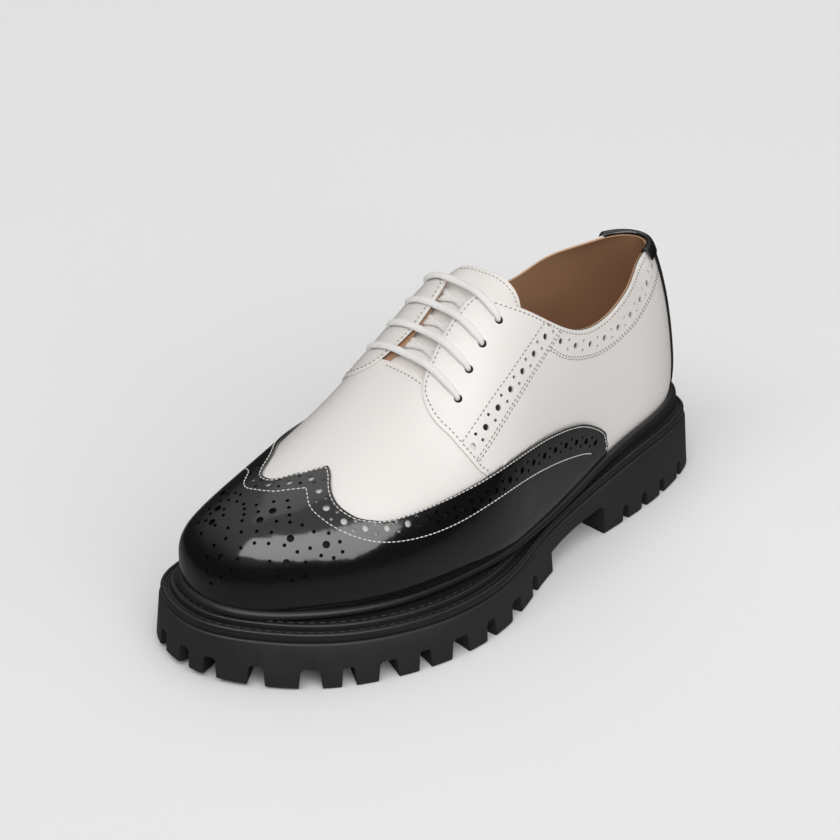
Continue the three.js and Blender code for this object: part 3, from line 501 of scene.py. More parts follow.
def mould_midsole():
    bm = bmesh.new()
    profile = [                                   # inset, height above the edge line
        (LEDGE_INSET + 0.5, FIT - 0.25), (LEDGE_INSET, FIT + 0.35), (LEDGE_INSET, LEDGE_LOW - 0.9),
        (LEDGE_INSET + 0.3, LEDGE_LOW - 0.25), (LEDGE_INSET + 0.95, LEDGE_LOW),
        (LEDGE_INSET + 1.5, LEDGE_LOW - 0.05), (LEDGE_INSET + 1.8, LEDGE_LOW - 0.75),
        (STEP_INSET - 0.9, LEDGE_LOW - 0.75), (STEP_INSET - 0.25, LEDGE_LOW - 0.6),
        (STEP_INSET - 0.1, LEDGE_HIGH - 0.75), (STEP_INSET + 0.2, LEDGE_HIGH - 0.2),
        (STEP_INSET + 0.75, LEDGE_HIGH), (STEP_INSET + 2.2, LEDGE_HIGH - 0.1),
    ]
    moulded(bm, [sole_level(inset, lambda y, h=h: edge_z(y) + h) for inset, h in profile], SOLE_STEPS)
    midsole = piece_from(bm, "stitched_midsole", ledge_rubber, sharp=60)
    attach(midsole, "root")
    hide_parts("midsole")


def walked_along(points):
    """Length walked from the first of a run of points to each of them."""
    return np.concatenate([[0], np.cumsum(np.linalg.norm(np.diff(points, axis=0), axis=1))])


def sewn_along(bm, points, lifts, pitch, length, thick):
    """Lays one stitch per pitch along a line of points, each a small closed grain of thread."""
    points, lifts = np.asarray(points), np.asarray(lifts)
    walked = walked_along(points)
    count = max(1, int(round(walked[-1] / pitch)))
    middles = (np.arange(count) + 0.5) * walked[-1] / count

    def at(distance):
        return np.array([np.interp(distance, walked, points[:, k]) for k in range(3)]).T
    here, run = at(middles), at(middles + pitch * 0.3) - at(middles - pitch * 0.3)
    up = np.array([np.interp(middles, walked, lifts[:, k]) for k in range(3)]).T
    for place, forward, normal in zip(here, run, up):
        x = Vector(forward).normalized()
        z = (Vector(normal) - x * x.dot(Vector(normal))).normalized()
        turn = Matrix((x, z.cross(x), z)).transposed().to_4x4()
        size = Matrix.Diagonal((length / 2 * MM, thick / 2 * MM, thick / 2 * MM, 1))
        spot = Matrix.Translation(Vector((place + MIDDLE) * MM))
        bmesh.ops.create_uvsphere(bm, u_segments=6, v_segments=5, radius=1,
                                  matrix=spot @ turn @ size @ Matrix.Rotation(math.pi / 2, 4, "Y"))


def stitch_piece(name, rows, thread, pitch, length, thick):
    """Rows of points with their outward directions, sewn and joined into one piece."""
    whole = bmesh.new()
    for points, lifts in rows:
        bm = bmesh.new()
        sewn_along(bm, points, lifts, pitch, length, thick)
        row = bpy.data.meshes.new(name + "_row")
        bm.to_mesh(row)
        bm.free()
        whole.from_mesh(row)
        bpy.data.meshes.remove(row)
    piece = piece_from(whole, name, thread, sharp=180)
    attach(piece, "root")


def ledge_rows():
    u, side = ring_round(200)
    rows = []
    for inset, height in ((LEDGE_INSET + 2.7, LEDGE_LOW - 0.62), (STEP_INSET + 1.9, LEDGE_HIGH + 0.1)):
        flat = sole_outline(u, side, inset)
        points = np.column_stack([flat, edge_z(flat[:, 1]) + height])
        points = np.vstack([points, points[:1]])
        rows.append((points, np.tile([0, 0, 1.0], (len(points), 1))))
    return rows


mould_midsole()
stitch_piece("ledge_stitches", ledge_rows(), black_thread, 4.4, 3.7, 0.95)

# Last and storm bead: the shoe is drawn over a last, a form of sections along the foot. The
# bead is a rolled rubber rim that closes the joint between the upper's foot and the midsole.
LAST_WIDTH, INSTEP, SEAT, TUCK, UNDER = 93, 133, LEDGE_HIGH + FIT, 12, 24
LAST = [   # station, centre, lateral, medial (of the width), top (of the instep), fullness l and m
    (0.017, -0.016, 0, 0, 0.887, 2.7, 2.7), (0.045, -0.016, 0.185, 0.175, 0.887, 2.7, 2.7),
    (0.09, -0.016, 0.269, 0.255, 0.887, 2.7, 2.7), (0.15, -0.016, 0.328, 0.304, 0.91, 2.8, 2.8),
    (0.2, -0.005, 0.347, 0.316, 0.985, 2.8, 2.9), (0.27, 0.022, 0.355, 0.323, 1.075, 2.8, 3),
    (0.37, 0.043, 0.398, 0.355, 1.075, 2.6, 3), (0.47, 0.054, 0.462, 0.387, 1, 2.3, 3),
    (0.56, 0.054, 0.527, 0.43, 0.842, 2.2, 3), (0.64, 0.054, 0.538, 0.462, 0.707, 2.1, 2.9),
    (0.73, 0.054, 0.505, 0.462, 0.609, 2.2, 2.8), (0.82, 0.022, 0.435, 0.409, 0.538, 2.3, 2.6),
    (0.89, -0.022, 0.339, 0.333, 0.481, 2.4, 2.4), (0.935, -0.054, 0.226, 0.237, 0.414, 2.4, 2.4),
    (0.958, -0.065, 0, 0, 0.278, 2.4, 2.4),
]
LEAN = [(0, 0), (12, -1), (30, 1), (50, 5), (75, 11.5), (110, 21)]   # height, lean of the heel wall
RAND_WIDTH, RAND_HEIGHT = 3.5, 3.7
last_station, *last_columns = zip(*LAST)
S0, S1 = last_station[0], last_station[-1]
last_v = along((np.array(last_station) - S0) / (S1 - S0))
level_ends = [(True, True), (False, False), (False, False), (True, False), (True, True), (True, True)]
centre_of, lateral_of, medial_of, top_of, full_l_of, full_m_of = [
    curve_through(last_v, values, *ends) for values, ends in zip(last_columns, level_ends)]
lean_of = curve_through(*zip(*LEAN))


def foot_z(y):
    return edge_z(y) + SEAT


def last_point(v, degrees):
    """Point of the last: v from heel to toe, degrees round the section from the lateral side."""
    v, angle = np.broadcast_arrays(np.asarray(v, float), np.radians(degrees))
    station = S0 + (S1 - S0) * share(v)
    y = y_at(station)
    cosine, sine = np.cos(angle), np.sin(angle)
    full = np.where(cosine >= 0, full_l_of(v), full_m_of(v))
    across = np.sign(cosine) * np.abs(cosine) ** (2 / full)
    high = top_of(v) * INSTEP - foot_z(y)
    tuck = np.minimum(TUCK, high * 0.45)
    rise = np.where(sine >= 0, (high - tuck) * np.abs(sine) ** (2 / full),
                    -tuck * np.abs(sine) / math.sin(math.radians(UNDER)))
    half = np.where(cosine >= 0, lateral_of(v), medial_of(v)) * LAST_WIDTH
    near_heel = np.clip(1 - (station - S0) / 0.25, 0, None) ** 2
    lean = lean_of(np.clip(tuck + rise, 0, None))
    return np.stack([centre_of(v) * LAST_WIDTH + half * across, y - near_heel * lean,
                     foot_z(y) + tuck + rise], -1)


def last_normal(v, degrees):
    """Outward direction of the last's surface."""
    v, degrees = np.broadcast_arrays(np.asarray(v, float), np.asarray(degrees, float))
    inner = np.clip(v, 0.012, 0.988)

    def raw(angle):
        run = last_point(inner + 0.002, angle) - last_point(inner - 0.002, angle)
        turn = last_point(inner, angle + 1) - last_point(inner, angle - 1)
        normal = np.cross(turn, run)
        return normal / np.linalg.norm(normal, axis=-1, keepdims=True)
    here = raw(degrees)
    level = here + raw(180 - degrees)
    pull = np.clip(np.minimum(v, 1 - v) / 0.012, 0, 1)[..., None]
    mixed = here * pull + level * (1 - pull)
    return mixed / np.linalg.norm(mixed, axis=-1, keepdims=True)


def on_last(v, degrees, out=0.0):
    return last_point(v, degrees) + last_normal(v, degrees) * np.asarray(out)[..., None]


def wall_point(v, side, up):
    """Point of the last's wall `up` above its foot, below the widest level."""
    high = top_of(v) * INSTEP - foot_z(y_at(S0 + (S1 - S0) * share(v)))
    sunk = np.clip(1 - up / np.minimum(TUCK, high * 0.45), 0, None)
    degrees = -np.degrees(np.arcsin(sunk * math.sin(math.radians(UNDER))))
    return last_point(v, np.where(side > 0, degrees, 180 - degrees))


def level_out(v, side):
    flat = last_normal(v, np.where(side > 0, 0.0, 180.0))[..., :2]
    return flat / np.linalg.norm(flat, axis=-1, keepdims=True)


def swept_band(bm, rings):
    """Closed hoop: rings of points, each extruded from the one before, the last joined to the first."""
    count = len(rings[0])
    base = bmesh.ops.create_circle(bm, segments=count, radius=1)["verts"]
    loop = sorted(base, key=lambda vert: math.atan2(vert.co.y, vert.co.x))
    edges = list(bm.edges)
    first_edges = list(edges)
    set_places(loop, rings[0])
    for ring in rings[1:]:
        edges, loop, _ = next_ring(bm, edges, loop)
        set_places(loop, ring)
    bmesh.ops.bridge_loops(bm, edges=first_edges + edges)
    bmesh.ops.recalc_face_normals(bm, faces=bm.faces[:])


def roll_bead():
    section = [(FIT + 0.1, 0), (RAND_WIDTH - 0.2, 0), (RAND_WIDTH + 0.35, 0.5), (RAND_WIDTH + 0.5, 1.3),
               (RAND_WIDTH + 0.2, 2.2), (RAND_WIDTH - 0.5, 3), (RAND_WIDTH - 1.3, RAND_HEIGHT - 0.15),
               (1.2, RAND_HEIGHT), (FIT + 0.3, RAND_HEIGHT - 0.3)]
    v, side = ring_round(140)
    foot = last_point(v, np.where(side > 0, -UNDER, 180.0 + UNDER))
    out = level_out(v, side)
    rings = []
    for reach, up in section:
        wall = wall_point(v, side, up)
        rings.append(np.column_stack([wall[:, :2] + out * reach, foot[:, 2] + up]))
    bm = bmesh.new()
    swept_band(bm, rings)
    bead = piece_from(bm, "storm_bead", ledge_rubber, sharp=60)
    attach(bead, "root")
    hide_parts("rand")


roll_bead()

# Vamp and quarters: smooth white calf, cut flat to pattern, sewn and drawn over the last. The
# quarters overlap the vamp by their own thickness and carry the brogue holes.
WALL, QUARTER_STEP, OVERLAY_FIT, CAP_SKIN = 1.8, 1.1, 0.4, 1.2
TOPLINE = [(-0.1, 0.842), (0.04, 0.842), (0.114, 0.842), (0.153, 0.823), (0.2, 0.8), (0.25, 0.777),
           (0.29, 0.772), (0.34, 0.797), (0.396, 0.871), (0.431, 0.926), (0.462, 0.964), (0.487, 0.99)]
THROAT_X = 5
THROAT = [(40, 15), (14, 12), (6, 8.8), (1, 7.4), (-6, 6.8), (-14, 7.4), (-20, 8.6), (-25, 10.2),
          (-27.5, 11.4)]
WING_EDGE = [   # degrees, along the last
    (-24, 0.347), (-1, 0.345), (0.8, 0.35), (3.6, 0.373), (7.2, 0.401), (10.8, 0.432), (14.7, 0.468),
    (20, 0.521), (25, 0.568), (30.9, 0.628), (34.8, 0.677), (40, 0.705), (44.4, 0.717), (50.4, 0.725),
    (58.7, 0.729), (66, 0.726), (74, 0.716), (80, 0.705), (84, 0.7), (88, 0.716), (91, 0.732),
    (94, 0.747), (99, 0.755), (105, 0.753), (110, 0.742), (116, 0.718), (122, 0.702), (128, 0.69),
    (135, 0.675), (142, 0.652), (149, 0.62), (155, 0.575), (160, 0.521), (165.3, 0.468),
    (169.2, 0.432), (172.8, 0.401), (176.4, 0.373), (179.2, 0.35), (181, 0.345), (204, 0.347),
]
QUARTER_EDGE = [(25.5, 0.5665), (30, 0.574), (36, 0.579), (44, 0.5845), (51, 0.5875), (58, 0.591),
                (64, 0.591), (69, 0.5885), (73, 0.585), (77, 0.577), (80, 0.567), (82.5, 0.556), (85, 0.54)]
EYELETS = [(0.4945, 63.1), (0.519, 63.5), (0.541, 62.3), (0.563, 58.6)]
EYELET_R = 1.85
ALONG_MM = 430                                    # length of last per unit of v, about
topline_share = curve_through(*zip(*TOPLINE))


WING_CUSP = 18                                    # row of the point at the middle of the toe
wing_near = curve_through(*zip(*WING_EDGE[7:WING_CUSP + 1]))
wing_far = curve_through(*zip(*WING_EDGE[WING_CUSP:33]))


def wing_edge(degrees):
    degrees = np.asarray(degrees, float)
    arms = np.interp(degrees, *zip(*WING_EDGE))
    near = np.where(degrees < 20, arms, wing_near(degrees))
    return np.where(degrees < 84, near, np.where(degrees > 160, arms, wing_far(degrees)))


def quarter_edge(degrees):
    return np.interp(np.where(degrees > 90, 180 - degrees, degrees), *zip(*QUARTER_EDGE))


def below_topline(point, drop=0.0):
    return INSTEP * topline_share(station_at(point[..., 1])) - drop - point[..., 2]


def beside_throat(point, back=0.0):
    y, half = zip(*THROAT[::-1])
    x_away = np.abs(point[..., 0] - THROAT_X) - np.interp(point[..., 1], y, half)
    away = np.max([x_away, y[0] - point[..., 1], point[..., 1] - y[-1]], axis=0)
    return np.where(point[..., 2] > 60, away - back, 30)


def section_degrees(a):
    """Degrees for a place on the flat pattern: 0 at the widest level, 100 on top, 200 far side."""
    a = np.asarray(a, float)
    near = np.where(a > 100, 200 - a, a)
    rise = np.clip(near / 100, 0, 1)
    degrees = 90 * rise ** 1.4 / (rise ** 1.4 + (1 - rise) ** 1.4)
    degrees = np.where(near < 0, 2 * near, degrees)
    return np.where(a > 100, 180 - degrees, degrees)


ALL_ROUND = (-12, 212)                            # flat pattern's span, tucked edge to tucked edge


def cut_leather(v_span, a_span, inside, cell=1.6):
    """Flat sheet over (v, a), trimmed with a knife along inside(v, degrees) = 0, in millimetres."""
    bm = bmesh.new()
    (v0, v1), (a0, a1) = v_span, a_span
    bmesh.ops.create_grid(bm, x_segments=int((v1 - v0) * ALONG_MM / cell),
                          y_segments=int((a1 - a0) / cell), size=1)
    flat = np.array([vert.co[:2] for vert in bm.verts])
    flat = np.column_stack([v0 + (v1 - v0) * (flat[:, 0] + 1) / 2, a0 + (a1 - a0) * (flat[:, 1] + 1) / 2])

    def depth(places):
        return inside(places[:, 0], section_degrees(places[:, 1]))
    near = np.zeros(len(flat), bool)
    for _ in range(3):
        d = depth(flat)
        slope = np.column_stack([depth(flat + [0.5 / ALONG_MM, 0]) - depth(flat - [0.5 / ALONG_MM, 0]),
                                 depth(flat + [0, 0.5]) - depth(flat - [0, 0.5])])
        steep = (slope ** 2).sum(1) + 1e-9
        near |= np.abs(d) / np.sqrt(steep) < 0.33 * cell
        move = np.clip(-slope * (d / steep)[:, None], -0.5 * cell, 0.5 * cell) * near[:, None]
        flat += move / [ALONG_MM, 1]
        flat[:, 0] = np.clip(flat[:, 0], v0, v1)
        flat[:, 1] = np.clip(flat[:, 1], a0, a1)
    d = np.where(near, 0, depth(flat))
    layer = bm.verts.layers.float.new("depth")
    for vert, place, value in zip(bm.verts, flat, d):
        vert.co = (place[0], place[1], 0)
        vert[layer] = value
    for edge in list(bm.edges):
        one, other = edge.verts
        if one[layer] * other[layer] < 0:
            part = one[layer] / (one[layer] - other[layer])
            fresh = bmesh.utils.edge_split(edge, one, part)[1]
            fresh[layer] = 0
    for face in list(bm.faces):
        ring = list(face.verts)
        signs = [0 if abs(vert[layer]) < 1e-9 else (1 if vert[layer] > 0 else -1) for vert in ring]
        if 1 in signs and -1 in signs:
            ends = [i for i, s in enumerate(signs) if s == 0]
            pairs = [(i, j) for i in ends for j in ends if 1 < j - i < len(ring) - 1
                     and {-1, 1} != set(signs[i + 1:j]) and {-1, 1} != set(signs[j + 1:] + signs[:i])]
            if pairs:
                bmesh.utils.face_split(face, ring[pairs[0][0]], ring[pairs[0][1]])
    waste = [face for face in bm.faces if sum(vert[layer] for vert in face.verts) <= 1e-9]
    bmesh.ops.delete(bm, geom=waste, context="FACES")
    return bm


def draw_over_last(bm, out):
    """Lasts a flat sheet: out(v, degrees) is its outer face above the last."""
    flat = np.array([vert.co[:2] for vert in bm.verts])
    v, degrees = flat[:, 0], section_degrees(flat[:, 1])
    height = out(v, degrees) + 0 * v
    set_places(bm.verts, on_last(v, degrees, height))
    bmesh.ops.reverse_faces(bm, faces=bm.faces[:])
    bmesh.ops.remove_doubles(bm, verts=bm.verts[:], dist=0.02 * MM)


def thickened(piece, thick, edge_round=0.3, other_side=0, rim=0):
    """Gives a sheet its thickness, inwards; its other side and rim may take later materials."""
    skin = piece.modifiers.new("skin", "SOLIDIFY")
    skin.thickness, skin.offset = thick * MM, -1
    skin.material_offset, skin.material_offset_rim = other_side, rim
    if edge_round:
        turned = piece.modifiers.new("turned_edge", "BEVEL")
        turned.limit_method, turned.angle_limit = "ANGLE", math.radians(50)
        turned.width, turned.segments = edge_round * MM, 2
    settled(piece)


def hole_cutters(holes, above=1.5, below=1.4):
    """Round punches; each hole is (v, degrees, radius, height of the leather's face)."""
    bm = bmesh.new()
    for v, degrees, radius, out in holes:
        place, up = on_last(v, degrees, out), Vector(last_normal(v, degrees))
        turn = up.to_track_quat("Z", "Y").to_matrix().to_4x4()
        middle = Vector((place + MIDDLE) * MM) + up * (above - below) / 2 * MM
        bmesh.ops.create_cone(bm, cap_ends=True, segments=18 if radius > 0.7 else 12,
                              radius1=radius * MM, radius2=radius * MM, depth=(above + below) * MM,
                              matrix=Matrix.Translation(middle) @ turn)
    return bm


white_calf = worked(material_named("white_calf", (0.80, 0.765, 0.735), 0.34, Coat_Weight=0.15,
                                   Coat_Roughness=0.25), coarse=16, fine=1500, shade=0.03, bump=0.05,
                    rough_swing=0.04)


def smooth(x):
    x = np.clip(x, 0, 1)
    return x * x * (3 - 2 * x)


VAMP_SEAM = 0.573                                 # its straight back edge between the facings


def cut_vamp():
    def inside(v, degrees):
        behind = np.where(np.abs(degrees - 90) < 17, VAMP_SEAM, quarter_edge(degrees) - 0.012)
        arm = np.where((degrees < 44) & (v > 0.66), 0.737, 0)
        under_wing = np.maximum(wing_edge(degrees) + 0.029, arm)
        return np.minimum(v - behind, under_wing - v) * ALONG_MM
    bm = cut_leather((0.36, 0.86), ALL_ROUND, inside)
    draw_over_last(bm, lambda v, degrees: 0 * v)
    vamp = piece_from(bm, "white_vamp", white_calf)
    thickened(vamp, 0.9)
    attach(vamp, "root")
    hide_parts("upper")


def quarter_rise(v, degrees):
    """Height of the quarters' face: level with the last behind, on top of the vamp in front."""
    step = QUARTER_STEP * smooth((v - 0.43) / 0.09)
    return step * smooth((wing_edge(degrees) - v) * ALONG_MM / 1.2)


def cut_quarters():
    def inside(v, degrees):
        point = last_point(v, degrees)
        front = (quarter_edge(degrees) - v) * ALONG_MM
        wing = (wing_edge(degrees) - v) * ALONG_MM + 2
        return np.min([below_topline(point), beside_throat(point), front, wing], axis=0)
    bm = cut_leather((0, 0.6), ALL_ROUND, inside)
    draw_over_last(bm, quarter_rise)
    quarters = piece_from(bm, "white_quarters", white_calf)
    thickened(quarters, 1.0)
    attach(quarters, "root")
    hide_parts("upper")
    return quarters


cut_vamp()
quarters = cut_quarters()

# Lining: tan calf glued and sewn inside the whole upper, a little short of its edges, with a dark cloth
# between it and the white leather that shows through the punched holes, its near-black partly painted
# shade.
# painted shade: the backing cloth is made near black so the punched holes look shaded inside
dark_cloth_and_hole_shade = worked(material_named("dark_interlining_and_painted_hole_shade", (0.022, 0.018, 0.015), 0.9), coarse=40,
                    fine=1600, shade=0.3, bump=0.2)
cut_edge = worked(material_named("lining_cut_edge", (0.50, 0.30, 0.175), 0.7), coarse=60, fine=1400,
                  shade=0.15, bump=0.1)
tan_lining = worked(material_named("tan_lining", (0.42, 0.235, 0.13), 0.55), coarse=22, fine=1100,
                    shade=0.25, bump=0.12, rough_swing=0.06)


def cut_lining():
    def inside(v, degrees):
        point = last_point(v, degrees)
        return np.minimum(below_topline(point, -0.25), beside_throat(point, 0.35))

    def rise(v, degrees):
        behind = smooth((quarter_edge(degrees) - 0.014 - v) / 0.03)
        return quarter_rise(v, degrees) * behind - 0.98
    bm = cut_leather((0, 1), ALL_ROUND, inside, 2.2)
    draw_over_last(bm, rise)
    lining = piece_from(bm, "tan_lining", dark_cloth_and_hole_shade, tan_lining, cut_edge)
    thickened(lining, WALL - 0.98, 0, other_side=1, rim=2)
    for face in lining.data.polygons:
        if face.material_index == 0 and beside_throat(np.array(face.center) / MM - MIDDLE) < 4:
            face.material_index = 1                # bare lining beside the throat
    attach(lining, "root")


cut_lining()

# Wing cap: black patent leather cut to a winged pattern, punched with brogue holes and sewn
# down over the vamp with two rows of white thread.
patent = worked(material_named("black_patent", (0.004, 0.004, 0.0045), 0.14, Coat_Weight=1.0,
                               Coat_Roughness=0.09), coarse=30, fine=900, shade=0.2, bump=0.015)


def uneven(material, size, depth):
    """Slow waves in a glossy face, which break the edges of what it mirrors."""
    tree = material.node_tree
    place = tree.nodes.new("ShaderNodeTexCoord")
    waves = node_after(tree, "ShaderNodeTexNoise", {"Vector": place.outputs["Object"]}, Scale=size,
                       Detail=2.5, Roughness=0.6)
    bump = node_after(tree, "ShaderNodeBump", {"Height": waves.outputs["Fac"]}, Strength=1.0,
                      Distance=depth)
    surface = tree.nodes["Principled BSDF"]
    tree.links.new(bump.outputs["Normal"], surface.inputs["Normal"].links[0].from_node.inputs["Normal"])
    tree.links.new(bump.outputs["Normal"], surface.inputs["Coat Normal"])


uneven(patent, 60, 0.0003)


def cut_wing_cap():
    def inside(v, degrees):
        return (v - wing_edge(degrees)) * ALONG_MM
    bm = cut_leather((0.33, 1), ALL_ROUND, inside, 1.5)
    draw_over_last(bm, lambda v, degrees: OVERLAY_FIT + CAP_SKIN + 0 * v)
    cap = piece_from(bm, "patent_wing_cap", patent)
    thickened(cap, CAP_SKIN)
    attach(cap, "root")
    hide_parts("wing_cap")
    return cap


wing_cap = cut_wing_cap()

# Brogue holes: punched by hand irons through the overlays before they are sewn on, a large
# hole between pairs of small ones along each band, and a medallion of holes on the toe.
LARGE_HOLE, SMALL_HOLE, PAIR_APART = 1.45, 0.75, 2.0          # radii, half distance of a pair
WING_ROW = [   # line of the wing's inner seam: along the last, degrees
    (0.752, 120), (0.7715, 113), (0.783, 106), (0.782, 99.6), (0.774, 91.6), (0.761, 86.9),
    (0.741, 80), (0.748, 75.4), (0.758, 66), (0.758, 58), (0.753, 48.9), (0.739, 37.8), (0.717, 28.6),
    (0.687, 22.7), (0.636, 18.5), (0.575, 15.6), (0.525, 12.1), (0.467, 7.1), (0.406, 1.9), (0.382, 0.3),
]
FRONT_BAND = [(0.416, 43.1), (0.425, 42.5), (0.447, 41.3), (0.467, 40.6), (0.489, 40.3),
              (0.510, 40.4), (0.530, 40.6), (0.550, 40.2), (0.574, 39.2), (0.582, 38.7)]
COLLAR_BAND = [(0.437, 38.6), (0.423, 33.4), (0.397, 27.4), (0.368, 23.8), (0.339, 23.2), (0.310, 25.7),
               (0.278, 30.8), (0.247, 37.8), (0.206, 45.2), (0.160, 50.5), (0.12, 53)]


def line_on_last(table, out, steps=400):
    """Even run of (v, degrees) through a table of them, with the points and outward directions."""
    v, degrees = np.array(table, float).T
    places = last_point(v, degrees)
    walked = walked_along(places)
    at = np.linspace(0, walked[-1], steps)
    v, degrees = curve_through(walked, v)(at), curve_through(walked, degrees)(at)
    height = out(v, degrees) if callable(out) else out + 0 * v
    return v, degrees, on_last(v, degrees, height), last_normal(v, degrees)


def shifted_line(table, sideways, out):
    """The line moved sideways, to its left as it runs, in millimetres."""
    v, degrees, points, up = line_on_last(table, out)
    run = np.gradient(points, axis=0)
    left = np.cross(up, run)
    left /= np.linalg.norm(left, axis=1, keepdims=True)
    along_v = last_point(v + 0.002, degrees) - last_point(v - 0.002, degrees)
    per_v = np.linalg.norm(along_v, axis=1)
    forward = (left * along_v).sum(1) / per_v
    across = last_point(v, degrees + 0.5) - last_point(v, degrees - 0.5)
    per_degree = np.linalg.norm(across, axis=1)
    # the two directions are not quite square to each other on the last
    skew = (along_v * across).sum(1) / per_v / per_degree
    side = (left * across).sum(1) / per_degree
    a = (forward - skew * side) / (1 - skew ** 2)
    b = (side - skew * forward) / (1 - skew ** 2)
    v, degrees = v + sideways * a / per_v * 0.004, degrees + sideways * b / per_degree
    height = out(v, degrees) if callable(out) else out + 0 * v
    return v, degrees, on_last(v, degrees, height), last_normal(v, degrees)


def mirrored(rows):
    return [(v, 180 - degrees) for v, degrees in rows]


def band_of_holes(table, pitch):
    """Large holes at an even pitch with a pair of small ones between, as (v, degrees, radius)."""
    v, degrees, points, _ = line_on_last(table, 0.0)
    walked = walked_along(points)
    count = int(round(walked[-1] / pitch))
    pitch = walked[-1] / count
    holes = []
    for i in range(2 * count - 1):
        at = (0.5 + i / 2) * pitch
        place = np.interp(at, walked, v), np.interp(at, walked, degrees)
        if i % 2 == 0:
            holes.append((*place, LARGE_HOLE))
            continue
        for sideways in (PAIR_APART, -PAIR_APART):
            lv, ld, _, _ = shifted_line(table, sideways, 0.0)
            holes.append((np.interp(at, walked, lv), np.interp(at, walked, ld), SMALL_HOLE))
    return holes


def wing_middle_line():
    """Middle of the wing's band, between its edge and its inner seam."""
    return [((v + float(wing_edge(degrees))) / 2, degrees) for v, degrees in WING_ROW]


# Medallion on the toe: places along the last and round it
MEDALLION_LARGE = [(0.797, 78.4), (0.821, 77.4), (0.808, 50.6), (0.771, 36.6), (0.831, 30.4),
                   (0.917, 68.8), (0.838, 109.5), (0.803, 122), (0.868, 103)]
MEDALLION_SMALL = [
    # two columns and the arc between them
    (0.812, 94.2), (0.819, 91), (0.828, 88.6), (0.839, 85.6), (0.803, 89), (0.811, 84.2), (0.784, 84.2),
    (0.771, 79.4), (0.778, 74.2), (0.786, 68.8), (0.793, 63.4), (0.806, 69.2), (0.783, 57.2),
    (0.857, 77.4), (0.839, 69.8), (0.824, 62.4), (0.776, 48.8), (0.761, 44),
    # rings on the near side
    (0.856, 60.4), (0.839, 53.8), (0.821, 46.8), (0.810, 37.6), (0.792, 37.6), (0.783, 29.6),
    (0.769, 25.6), (0.756, 28.2), (0.754, 35.6), (0.853, 36.2), (0.806, 27), (0.849, 18.6),
    (0.831, 13), (0.813, 15.4),
    # ring at the tip
    (0.883, 82.4), (0.906, 87.2), (0.933, 87.4), (0.957, 75), (0.968, 38.8), (0.943, 39.2),
    (0.918, 42.2), (0.897, 52.4), (0.879, 63),
    # far side
    (0.864, 88.4), (0.871, 97.6), (0.869, 111), (0.897, 107.2), (0.876, 119), (0.853, 112),
    (0.836, 103), (0.842, 119), (0.847, 98.8), (0.821, 114.6), (0.816, 107.6), (0.813, 100.2),
    (0.804, 114.4), (0.799, 108.4), (0.799, 103.2), (0.79, 121), (0.806, 131), (0.786, 131),
]


def medallion():
    large, small = 1.6, 0.82
    return [(*place, large) for place in MEDALLION_LARGE] + [(*place, small) for place in MEDALLION_SMALL]


def with_height(holes, out):
    return [(v, degrees, radius, float(out(v, degrees)) if callable(out) else out)
            for v, degrees, radius in holes]


cap_face = OVERLAY_FIT + CAP_SKIN
wing_holes = band_of_holes(wing_middle_line(), 9.2)
punched(wing_cap, hole_cutters(with_height(wing_holes, cap_face), below=CAP_SKIN + 0.3))
punched(wing_cap, hole_cutters(with_height(medallion(), cap_face), below=CAP_SKIN + 0.3))
quarter_holes = []
for mirror in (False, True):
    for table, pitch in ((FRONT_BAND, 10.3), (COLLAR_BAND, 11.8)):
        quarter_holes += band_of_holes(mirrored(table) if mirror else table, pitch)
punched(quarters, hole_cutters(with_height(quarter_holes, quarter_rise), below=1.25))
eyelets = [(v, angle, EYELET_R) for v, near in EYELETS for angle in (near, 180 - near)]
punched(quarters, hole_cutters(with_height(eyelets, quarter_rise), below=1.3))

# Seams: lock stitches of white waxed thread on the patent leather, and of taupe thread on the
# white calf, one row inside each edge and one or two beside each band of holes.
white_thread = material_named("white_thread", (0.78, 0.76, 0.72), 0.6)
taupe_thread = material_named("taupe_thread", (0.22, 0.185, 0.155), 0.7)


def seam_inside(v_span, a_span, inside, inset, out, kept=None):
    """Rows that run `inset` inside the cut edge of a sheet, as points with their directions."""
    bm = cut_leather(v_span, a_span, lambda v, degrees: inside(v, degrees) - inset)
    layer = bm.verts.layers.float["depth"]
    rim = [e for e in bm.edges if e.is_boundary and all(abs(vert[layer]) < 1e-6 for vert in e.verts)]
    left = set(rim)
    rows = []
    while left:
        edge = left.pop()
        chain = list(edge.verts)
        for end in (-1, 0):
            while True:
                ahead = [e for e in chain[end].link_edges if e in left]
                if not ahead:
                    break
                left.discard(ahead[0])
                step = ahead[0].other_vert(chain[end])
                chain = chain + [step] if end else [step] + chain
        flat = np.array([vert.co[:2] for vert in chain])
        v, degrees = flat[:, 0], section_degrees(flat[:, 1])
        stays = np.ones(len(v), bool) if kept is None else kept(v, degrees)
        points, up = on_last(v, degrees, out(v, degrees) + 0 * v), last_normal(v, degrees)
        for run in np.split(np.arange(len(v)), np.flatnonzero(np.diff(stays.astype(int))) + 1):
            if stays[run[0]] and len(run) > 3:
                rows.append((points[run], up[run]))
    bm.free()
    return rows


def parallel_row(table, sideways, out, mirror):
    rows = mirrored(table) if mirror else table
    v, degrees, points, up = shifted_line(rows, -sideways if mirror else sideways, out)
    sewn = quarter_inside(v, degrees) > 1.7
    return points[sewn], up[sewn]


def sew_wing():
    def face(v, degrees):
        return cap_face + 0.06 + 0 * v
    rows = seam_inside((0.33, 0.8), ALL_ROUND, lambda v, degrees: (v - wing_edge(degrees)) * ALONG_MM,
                       1.7, face, lambda v, degrees: (degrees > -8) & (degrees < 188))
    far = [(v, 172 - degrees) for v, degrees in WING_ROW if degrees < 45]
    for part in (far[::-1] + WING_ROW[:7], WING_ROW[6:]):
        rows.append(line_on_last(part, cap_face + 0.06)[2:])
    stitch_piece("wing_stitches", rows, white_thread, 2.15, 1.75, 0.5)


